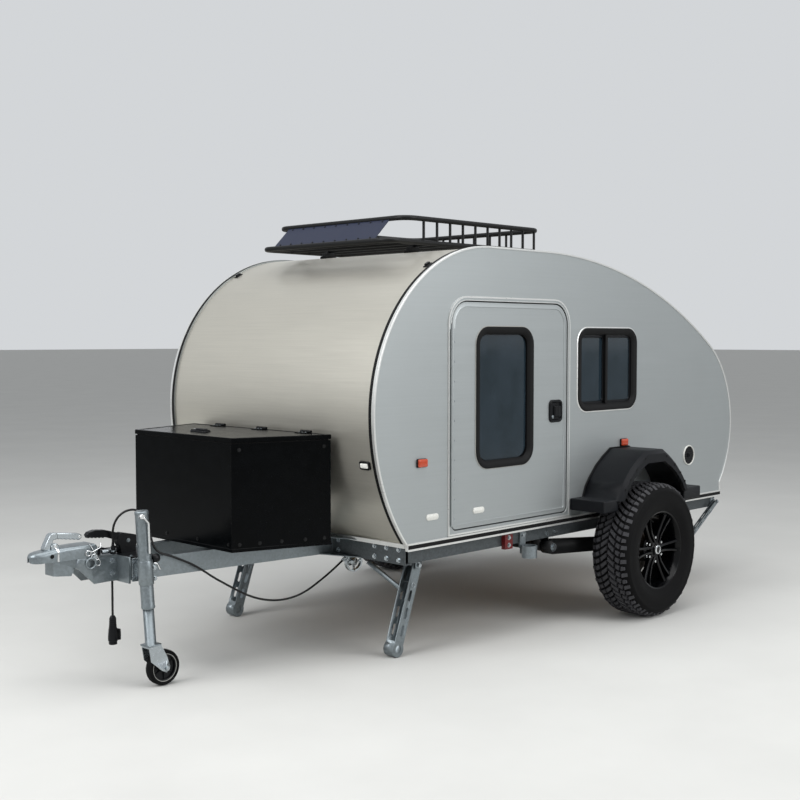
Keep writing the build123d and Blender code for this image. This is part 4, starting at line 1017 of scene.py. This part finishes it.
def build_jockey():
    place = Matrix.Translation(JOCKEY) @ Matrix.Rotation(LEAN, 4, "Y")

    def on(x, y, z):
        return place @ Vector((x, y, z))

    def way(x, y, z):
        return place.to_3x3() @ Vector((x, y, z))

    # Outer tube with its rolled lower end and domed cap, and the crank beside it
    axis = way(0, 0, 1)
    piece("jockey_outer_tube", GALVANISED, (lathe, [
        (24.6, -172), (28.4, -172), (30.2, -169), (30.2, -163), (29, -160), (29, 240), (30.4, 241),
        (30.4, 252), (27, 256), (0.5, 257), (0.5, 250), (24.6, 240)], on(0, 0, 0), 48, axis),
        stands_for="jockey_tube", sharp=30)
    arm = bend([on(20, 20, 236), on(18, 40, 236), on(-6, 40, 206), on(-3, 37, 74)], 16)
    piece("jockey_crank_arm", CHROME, (tube, arm, 5, 14),
          (lathe, [(0.5, 24), (10, 24), (12, 27), (12, 40), (10, 43), (0.5, 43)], on(22, 0, 238), 24),
          stands_for="jockey_crank", sharp=40)
    # Clamp: a thin collar with ears, plate and web toward the drawbar, knob and lever
    angle = math.atan2(225, 1940)
    bar = Matrix.Translation((560, 345, 465)) @ Matrix.Rotation(-angle, 4, "Z")
    along = (JOCKEY.x - 560) / math.cos(angle)
    piece("jockey_collar", GALVANISED,
          (lathe, [(29.2, -66), (32, -66), (33, -64), (33, 38), (32, 40), (29.2, 40)], on(0, 0, 0), 40, axis),
          (block, (-46, -8, -58), (-30, 8, 32), place), stands_for="jockey_clamp", bevel=1.2)
    webs = [(block, (along + a, 29.6, 8), (along + a + 8, 66, 84), bar) for a in (-34, -10)]
    piece("clamp_plate", ZINC, (block, (along - 66, 22.6, -6), (along + 20, 29.6, 96), bar), *webs, bevel=1.2)
    bolts("clamp_bolts", [(on(-38, s * 9, z), way(0, s, 0)) for s in (-1, 1) for z in (-46, 0)],
          size=(8, 7, 11))
    piece("clamp_knob", ABS, (lathe, [(0.5, 33), (15, 33), (19, 38), (19, 60), (16, 66), (0.5, 66)],
                              on(0, 4, 40), 24, way(-1, 0, 0)), sharp=40)
    piece("clamp_lever", CHROME,
          (lathe, [(0.5, 65), (7, 65), (7, 71), (5, 73), (0.5, 73)], on(0, 4, 40), 18, way(-1, 0, 0)),
          (tube, bend([on(-38, 8, 22), on(-54, 10, 16), on(-66, 12, -12)], 12), 4.5, 12), sharp=40)
    # Bolts of the clamp's plate on the drawbar
    out = bar.to_3x3() @ Vector(ACROSS)
    places = [(bar @ Vector((along + a, 29.5, z)), out) for a in (-54, 8) for z in (12, 78)]
    bolts("clamp_plate_bolts", places, size=(8, 7, 12))
    # The wheel: solid tyre on a moulded centre, pin with nuts
    hub = on(-CASTOR, 0, (78 - JOCKEY.z) / math.cos(LEAN) - CASTOR * math.tan(LEAN))
    wheel = {"body": "jockey_wheel"}
    piece("jockey_tyre", "tyre rubber", (lathe, [
        (56, -15), (62, -18), (72, -20.5), (76, -17), (77.8, -8), (77.8, 8), (76, 17), (72, 20.5), (62, 18),
        (56, 15)], hub, 56), stands_for="jockey_wheel", sharp=40, **wheel)
    piece("jockey_rim", ABS, (lathe, [
        (54, -15), (58.5, -16.5), (58.5, 16.5), (54, 15), (53, 6), (20, 4), (18, 20), (7, 20.5), (7, -20.5),
        (18, -20), (20, -4), (53, -6)], hub), sharp=40, **wheel)
    line = ((58.6, 16.6), (60, 17.8), (61, 18.4), (59.6, 19), (58.2, 17.4))
    lines = [(lathe, [(r, s * level) for r, level in line], hub) for s in (1, -1)]
    piece("jockey_rim_line", "grey EPDM rubber", *lines, sharp=60, **wheel)
    repeated("jockey_rim_ribs", ABS, 6, (block, (-1.4, -10, 18), (1.4, 10, 54), Matrix.Translation(hub)),
             turn=(0, math.pi / 3, 0), centre=hub, **wheel)
    bolts("jockey_pin_nuts", [(hub + Vector((0, s * 34, 0)), (0, s, 0)) for s in (-1, 1)], body="jockey_fork")


def hood(x, half, low, high, r, thick=4.0):
    """A cross-section of folded sheet, open below: (x, y, z) points of its outer and inner faces."""
    loop = []
    for inset in (0.0, min(thick, half * 0.5, (high - low) * 0.4)):
        w, top, c = half - inset, high - inset, max(r - inset, 0.5)
        left, right = arc((c - w, top - c), c, 180, 90, 6), arc((w - c, top - c), c, 90, 0, 6)
        face = [(-w, low), *left, *right, (w, low)]
        loop += face[::-1] if inset else face
    return [(x, y, z) for y, z in loop]


def wire_ring(bm, x, y, z, wide, high, wire):
    around = arc((0, 0), 1, 0, 345, 23)
    tube(bm, [(x + wide * c, y, z + high * s) for c, s in around], wire, 10, closed=True)


def build_coupling():
    # Pressed body that narrows and drops to a round nose, the ball's cup inside, and a welded band
    sections = (
        (2602, 51, 576, 622, 14), (2612, 54, 573, 628, 14), (2690, 53.5, 572, 628, 14),
        (2750, 49.5, 572, 627, 15), (2800, 45.5, 572, 625, 18), (2835, 42.4, 572, 620, 20),
        (2862, 39.6, 572, 618, 21), (2879, 35, 572.5, 615, 20), (2889, 27.5, 573, 611, 17),
        (2896, 17, 574.5, 605, 12), (2899.2, 7, 579, 598, 5))
    piece("coupling_hood", GALVANISED, (loft, [hood(*section) for section in sections]),
          (lathe, [(25.6, 573), (30, 573), (30, 590), (25.6, 590)], (BALL_X, 0, 0), 40, UP),
          stands_for="coupling", sharp=30)
    band = ((2782, 48.2, 573, 627.4, 17, 2), (2783, 48.8, 572, 628, 17, 3), (2790, 48.2, 572, 627.4, 17, 3),
            (2791, 47.4, 573, 626.4, 17, 2))
    piece("coupling_band", CHROME, (loft, [hood(*section) for section in band]), sharp=30)
    # Black discs on the body's flanks stand for two holes: their dark insides are painted shade
    piece("coupling_hole_shade_discs", RUBBER,
          (lathe, [(0.5, 42), (9, 42), (9, 45.4), (7, 45.8), (0.5, 45.8)], (2814, 0, 597), 20), BOTH)
    # Lever: bracket on the nose and a grip with a ribbed underside
    under = [(2672 + 9.5 * k, 648 + 1.3 * k + (3.2 if k % 2 else 0)) for k in range(11)]
    piece("coupling_grip", ZINC,
          (slab, [(2834, 620), (2833, 632), (2806, 684), (2796, 690), (2772, 689), (2772, 664), (2790, 662),
                  (2806, 636), (2806, 620)], -18, 18),
          (slab, [(2806, 622), (2806, 636), (2796, 646), (2776, 646), (2768, 636), (2768, 622)], -22, 22),
          (slab, [(2780, 690), (2706, 681), (2668, 676), (2656, 668), (2656, 655), (2664, 648), *under],
           -15, 15),
          stands_for="coupling_lever", bevel=3)
    pins = [(lathe, [(0.5, -w), (r, -w), (r, w), (0.5, w)], (x, 0, z), 20)
            for r, w, x, z in ((6.5, 17, 2666, 662), (7, 24, 2786, 634))]
    piece("lever_pins", CHROME, *pins, bevel=1)
    # Spring clips and rings on the body's flank
    wires = [(tube, bend(run, 8), 2.4, 10) for run in (
        [(2658, 56, 606), (2632, 60, 596), (2588, 58, 612), (2584, 50, 628)],
        [(2640, 50, 630), (2632, 60, 612), (2612, 60, 578), (2600, 60, 562)])]
    piece("coupling_clips", CHROME, (wire_ring, 2650, 57.5, 592, 12, 11, 2.3),
          (wire_ring, 2622, 59, 573, 14, 13, 2.8), (wire_ring, 2604, 60, 547, 10, 14, 2.2), *wires, sharp=50)
    places = [((x, 56, z), ACROSS) for x, z in ((2532, 490), (2532, 545), (2622, 573))]
    bolts("head_bolts", both_ways(places[:2]) + places[2:], size=(10, 8, 13))
    # Handbrake: cast bracket, lever with a ribbed grip, link bars and a small damper on the head
    under = [(2634 - 9 * k, 652 - 0.9 * k + (5 if k % 2 else 0)) for k in range(10)]
    piece("brake_lever", ABS, (block, (2380, -140, 560), (2496, 140, 568)),
          (slab, [(2398, 566), (2474, 566), (2480, 600), (2494, 622), (2488, 650), (2470, 660), (2394, 642),
                  (2386, 614), (2396, 598)], 2, 38),
          (slab, [(2474, 628), (2470, 656), (2516, 669), (2552, 680), (2600, 684), (2630, 678), (2641, 666),
                  *under, (2516, 636)], 5, 35), stands_for="handbrake", bevel=2)
    links = [(slab, [(x0, z0 - 5), (x0, z0 + 5), (x1, z1 + 6), (x1, z1 - 4)], y - 4, y + 4)
             for x0, z0, x1, z1, y in ((2574, 602, 2462, 570, 12), (2520, 600, 2430, 596, 28))]
    piece("brake_links", ABS, *links, (block, (2566, 6, 572), (2582, 20, 600)), bevel=2)
    piece("brake_damper", ZINC, (lathe, [(0.5, 0), (8, 0), (10, 3), (10, 66), (8, 70), (0.5, 70)],
                                 (2494, 24, 583), 28, AHEAD), sharp=40)
    bolts("brake_bolts", [((2438, 20 + s * 19, 622), (0, s, 0)) for s in (-1, 1)]
          + [((x, y, 568), UP) for x in (2394, 2482) for y in (-128, 128)], GALVANISED, size=(6, 4, 9))


def build_legs():
    """Hinge bolts, lock pins and foot rims of the four legs."""
    legs = (  # name, hinge, lean now, lean when it stands, foot radius, half width
        ("front", (1213, 610, 425), 19.0, 19.0, 38, 30),
        ("rear", (-1370, 761, 496), 58.0, 16.8, 24, 12),
    )
    for name, (x, y, z), lean, stand, foot, half in legs:
        reach = (z - foot) / math.cos(math.radians(stand))
        rim = [(foot / 2, -half - 2), (foot - 2, -half - 2), (foot - 0.2, -half), (foot - 0.2, half),
               (foot - 2, half + 2), (foot / 2, half + 2)]
        for side, sign in SIDES:
            body = "leg_%s_%s" % (name, side)
            place = Matrix.Translation((x, sign * y, z)) @ Matrix.Rotation(math.radians(-lean), 4, "Y")
            piece("foot_" + body, GALVANISED, (lathe, rim, place @ Vector((0, 0, -reach)), 36), body=body,
                  sharp=40)
            ring = [place @ Vector((u, (half + 5) * sign, v)) for v, u in arc((-97, 0), 11, 0, 342, 19)]
            piece("lock_pin_" + body, ZINC,
                  (tube, [place @ Vector((0, v, -86)) for v in (-half - 3, half + 3)], 4, 12),
                  (tube, ring, 1.6, 8, True), body=body, sharp=50)
    places = [((1213, 610 + s * 40, 425), (0, s, 0)) for s in (-1, 1)]
    bolts("leg_hinge_bolts", both_ways(places), size=(11, 8, 15))
    places = [((x, 744, z), ACROSS) for x, z in ((-1378, 518), (-1345, 518), (-1378, 474))]
    bolts("leg_plate_bolts", both_ways(places), size=(5, 3, 7))


def build_chassis(sizes):
    head = sizes.bolt * 1000
    size = (head, 7, head * 1.4)
    spots = ((-576, 510), (-544, 510), (519, 510), (551, 510), (255, 490), (325, 490))
    places = [((x, 740, z), ACROSS) for x, z in spots]
    bolts("rail_bolts", both_ways(places), size=size)
    # Front member: bolts in its face, either side of the drawbar rails
    face = [((1422, y, z), AHEAD) for y in (190, 310, 560, 640, 720) for z in (485, 535)]
    bolts("member_bolts", both_ways(face), size=size)
    # Gussets between drawbar rail and front member
    flat = [(1424, 268), (1424, 470), (1500, 262)]
    piece("drawbar_gussets", GALVANISED, (slab, flat, 465.2, 470, "z"), (slab, flat, 550, 554.8, "z"), BOTH,
          bevel=1)
    # Bolts on the trailing arms' pivots and the hub flanges
    bolts("arm_bolts", both_ways([((290, 756, 412), ACROSS)]), size=(16, 10, 24))
    places = [(p, ACROSS) for p in ((670, 764, 470), (670, 764, 508), (540, 750, 505))]
    bolts("block_bolts", places, size=(8, 6, 12))


def build_cords():
    route = [
        (2520, 44, 592), (2520, 44, 640), (2530, 60, 690), (2526, 86, 735), (2500, 108, 765),
        (2460, 126, 772), (2424, 134, 748), (2404, 144, 700), (2398, 154, 645), (2390, 164, 600),
        (2368, 174, 572), (2318, 184, 556), (2262, 190, 530), (2208, 196, 504), (2152, 202, 468),
        (2096, 208, 428), (2040, 214, 394), (1978, 221, 356), (1904, 230, 316), (1822, 239, 288),
        (1738, 249, 276), (1656, 258, 282), (1586, 267, 304), (1524, 275, 336), (1468, 282, 368),
        (1418, 287, 398), (1382, 292, 424),
    ]
    cable = cord_curve("lighting_wire", route, 5)
    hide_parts("lighting_cable")
    lead = cord_curve("plug_wire", [(PLUG_X, 40, z) for z in (455, 404, 352, 300)], 5)
    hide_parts("plug_lead")
    # The plug: a tapered body with a ribbed strain relief, and a lid that hangs at its side
    ribs = [(lathe, [(r - 3, z - 2), (r, z - 1.4), (r, z + 1.4), (r - 3, z + 2)], (PLUG_X, 40, 0), 28, UP)
            for r, z in ((16.4 - 0.3 * k, 258 + 8 * k) for k in range(4))]
    plug = piece("trailer_plug", ABS, (lathe, [
        (0.5, 172), (17, 172), (18.6, 174), (18.6, 186), (21.2, 188), (21.4, 206), (20.4, 222), (17.4, 246),
        (15.2, 264), (14.6, 288), (12.5, 293), (8.5, 299.5), (5.2, 300), (5.2, 240), (0.5, 240)],
        (PLUG_X, 40, 0), 40, UP), *ribs, stands_for="plug", sharp=35)
    flap = piece("plug_flap", ABS, (block, (PLUG_X - 34, 28, 188), (PLUG_X - 20, 52, 230)),
                 (lathe, [(0.5, -15), (5, -15), (5, 15), (0.5, 15)], (PLUG_X - 27, 40, 233), 16), bevel=2)
    # Tapered gland where the cable leaves the head, on its nut
    piece("cable_glands", ABS,
          (lathe, [(5.1, 590), (9, 590), (9, 598), (7, 604), (5.8, 622), (5.1, 622)], (2520, 44, 0), 20, UP),
          (lathe, [(8, 573), (13, 573), (13, 580), (10, 582), (8, 582)], (2520, 44, 0), 6, UP), sharp=40)


def cord_curve(name, route, radius):
    curve = bpy.data.curves.new(name, "CURVE")
    curve.dimensions = "3D"
    curve.bevel_depth = radius / 1000
    curve.bevel_resolution = 5
    curve.resolution_u = 8
    curve.use_fill_caps = True
    line = curve.splines.new("NURBS")
    line.points.add(len(route) - 1)
    for point, place in zip(line.points, route):
        point.co = (*(TO_FRAME @ Vector(place)), 1)
    line.order_u = 3
    line.use_endpoint_u = True
    curve.materials.append(bpy.data.materials["PVC sheath"])
    obj = linked(name, curve)
    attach(obj, "trailer")
    return obj


def build_stage(c):
    # Plain floor, poured and floated: pale grey with faint cloudy marks
    floor = finish("poured floor", shades(c.floor, 0.95, 1.02), 900, (0.75, 0.9))
    mesh = bpy.data.meshes.new("floor")
    mesh.from_pydata([(x, y, -0.0015) for x, y in oblong(-150, -150, 150, 150)], [], [(0, 1, 2, 3)])
    mesh.materials.append(floor)
    linked("floor", mesh)
    # Large soft lamps: one over the trailer, one to each side of the camera
    for name, place, aim, size, power in (
            ("top light", (0.5, 1.0, 6.5), (0, 0, 0.8), 6.0, 260),
            ("side light", (-2.0, 7.5, 4.2), (-0.2, 0, 1.0), 5.0, 330),
            ("nose light", (7.0, -0.5, 5.0), (0.8, 0, 1.1), 4.5, 380)):
        data = bpy.data.lights.new(name, "AREA")
        data.shape = "SQUARE"
        data.size = size
        data.energy = power
        lamp = linked(name, data)
        lamp.location = place
        lamp.rotation_euler = (Vector(aim) - Vector(place)).to_track_quat("-Z", "Y").to_euler()
    # Pale surroundings for the eye and for reflections, dimmer as a light
    world = bpy.data.worlds.new("surroundings")
    bpy.context.scene.world = world
    world.use_nodes = True
    tree = world.node_tree
    tree.nodes.clear()
    rays = add(tree, "ShaderNodeLightPath").outputs
    seen = rays["Is Camera Ray"]
    for kind in ("Is Glossy Ray", "Is Transmission Ray"):
        seen = add(tree, "ShaderNodeMath", {0: seen, 1: rays[kind]}, operation="MAXIMUM")
    strength = add(tree, "ShaderNodeMapRange", {0: seen, "To Min": 0.55, "To Max": 0.8})
    sky = add(tree, "ShaderNodeBackground", {0: (*linear("E9ECEF"), 1), 1: strength})
    add(tree, "ShaderNodeOutputWorld", {0: sky})
    # Camera: a little under a 55 mm lens on a 36 mm frame, standing by the hitch's left
    data = bpy.data.cameras.new("camera")
    data.sensor_width = 36
    data.lens = 54.42
    data.clip_end = 200
    camera = linked("camera", data)
    camera.location = (5.3997 - SHIFT / 1000, 4.6164, 1.5122)
    pitch = math.radians(2.893)
    ahead = Vector((-0.7151 * math.cos(pitch), -0.6990 * math.cos(pitch), -math.sin(pitch)))
    camera.rotation_euler = ahead.to_track_quat("-Z", "Y").to_euler()
    bpy.context.scene.camera = camera
    bpy.context.scene.view_settings.view_transform = "Standard"


class TRAILER_OT_finishes(bpy.types.Operator):
    """Makes every finish and gives the CAD pieces theirs"""
    bl_idname = "trailer.finishes"
    bl_label = "Finishes"

    def execute(self, context):
        make_finishes(context.scene.trailer_colours)
        for name, nodes in NODE_FINISH.items():
            for node in nodes:
                mesh = frame["nodes"][node].data
                mesh.materials.clear()
                mesh.materials.append(bpy.data.materials[name])
        for name, nodes in SMOOTH_NODES.items():
            for node in nodes:
                smooth_copy(node, name)
        return {"FINISHED"}


class TRAILER_OT_shell(bpy.types.Operator):
    """Skin, hatch and edge trims of the cabin"""
    bl_idname = "trailer.shell"
    bl_label = "Cabin shell"

    def execute(self, context):
        build_skin()
        build_hatch()
        build_trims()
        return {"FINISHED"}


class TRAILER_OT_openings(bpy.types.Operator):
    """Doors, door hinges and locks, and the side windows"""
    bl_idname = "trailer.openings"
    bl_label = "Doors and windows"

    def execute(self, context):
        build_doors(context.scene.trailer_sizes)
        build_windows()
        return {"FINISHED"}


class TRAILER_OT_lamps(bpy.types.Operator):
    """Lamps, vents and oval covers"""
    bl_idname = "trailer.lamps"
    bl_label = "Lamps and vents"

    def execute(self, context):
        build_lamps()
        return {"FINISHED"}


class TRAILER_OT_wheels(bpy.types.Operator):
    """Tyres with their tread, wheels, nuts and brake drums"""
    bl_idname = "trailer.wheels"
    bl_label = "Wheels"

    def execute(self, context):
        build_tyres(context.scene.trailer_sizes)
        build_rims(context.scene.trailer_sizes)
        return {"FINISHED"}


class TRAILER_OT_fenders(bpy.types.Operator):
    """Screws and welts of the fenders"""
    bl_idname = "trailer.fenders"
    bl_label = "Fenders"

    def execute(self, context):
        build_fenders()
        return {"FINISHED"}


class TRAILER_OT_toolbox(bpy.types.Operator):
    """Hinges, latch, seams and screws of the toolbox"""
    bl_idname = "trailer.toolbox"
    bl_label = "Toolbox"

    def execute(self, context):
        build_toolbox()
        return {"FINISHED"}


class TRAILER_OT_rack(bpy.types.Operator):
    """Roof rack with its feet"""
    bl_idname = "trailer.rack"
    bl_label = "Roof rack"

    def execute(self, context):
        build_rack(context.scene.trailer_sizes)
        return {"FINISHED"}


class TRAILER_OT_running_gear(bpy.types.Operator):
    """Drawbar fittings, jockey wheel, legs and chassis bolts"""
    bl_idname = "trailer.running_gear"
    bl_label = "Drawbar, legs and chassis"

    def execute(self, context):
        build_jockey()
        build_coupling()
        build_legs()
        build_chassis(context.scene.trailer_sizes)
        return {"FINISHED"}


class TRAILER_OT_cords(bpy.types.Operator):
    """Lighting cable, plug lead and plug"""
    bl_idname = "trailer.cords"
    bl_label = "Cords"

    def execute(self, context):
        build_cords()
        return {"FINISHED"}


class TRAILER_OT_stage(bpy.types.Operator):
    """Floor, lamps, surroundings and camera"""
    bl_idname = "trailer.stage"
    bl_label = "Stage"

    def execute(self, context):
        build_stage(context.scene.trailer_colours)
        return {"FINISHED"}


STEPS = (
    TRAILER_OT_finishes, TRAILER_OT_shell, TRAILER_OT_openings, TRAILER_OT_lamps, TRAILER_OT_wheels,
    TRAILER_OT_fenders, TRAILER_OT_toolbox, TRAILER_OT_rack, TRAILER_OT_running_gear, TRAILER_OT_cords,
    TRAILER_OT_stage,
)


class TRAILER_PT_panel(bpy.types.Panel):
    """The trailer's sizes, colours and building steps"""
    bl_idname = "TRAILER_PT_panel"
    bl_label = "Trailer"
    bl_space_type = "VIEW_3D"
    bl_region_type = "UI"
    bl_category = "Trailer"

    def draw(self, context):
        for group in (context.scene.trailer_sizes, context.scene.trailer_colours):
            column = self.layout.column()
            for name in group.__annotations__:
                column.prop(group, name)
        for step in STEPS:
            self.layout.operator(step.bl_idname)


CLASSES = (TrailerColours, TrailerSizes, *STEPS, TRAILER_PT_panel)


def register():
    for cls in CLASSES:
        bpy.utils.register_class(cls)
    bpy.types.Scene.trailer_colours = bpy.props.PointerProperty(type=TrailerColours)
    bpy.types.Scene.trailer_sizes = bpy.props.PointerProperty(type=TrailerSizes)


def unregister():
    del bpy.types.Scene.trailer_sizes
    del bpy.types.Scene.trailer_colours
    for cls in reversed(CLASSES):
        bpy.utils.unregister_class(cls)


def main():
    register()
    for step in STEPS:
        group, name = step.bl_idname.split(".")
        getattr(getattr(bpy.ops, group), name)()


if __name__ == "__main__":
    main()
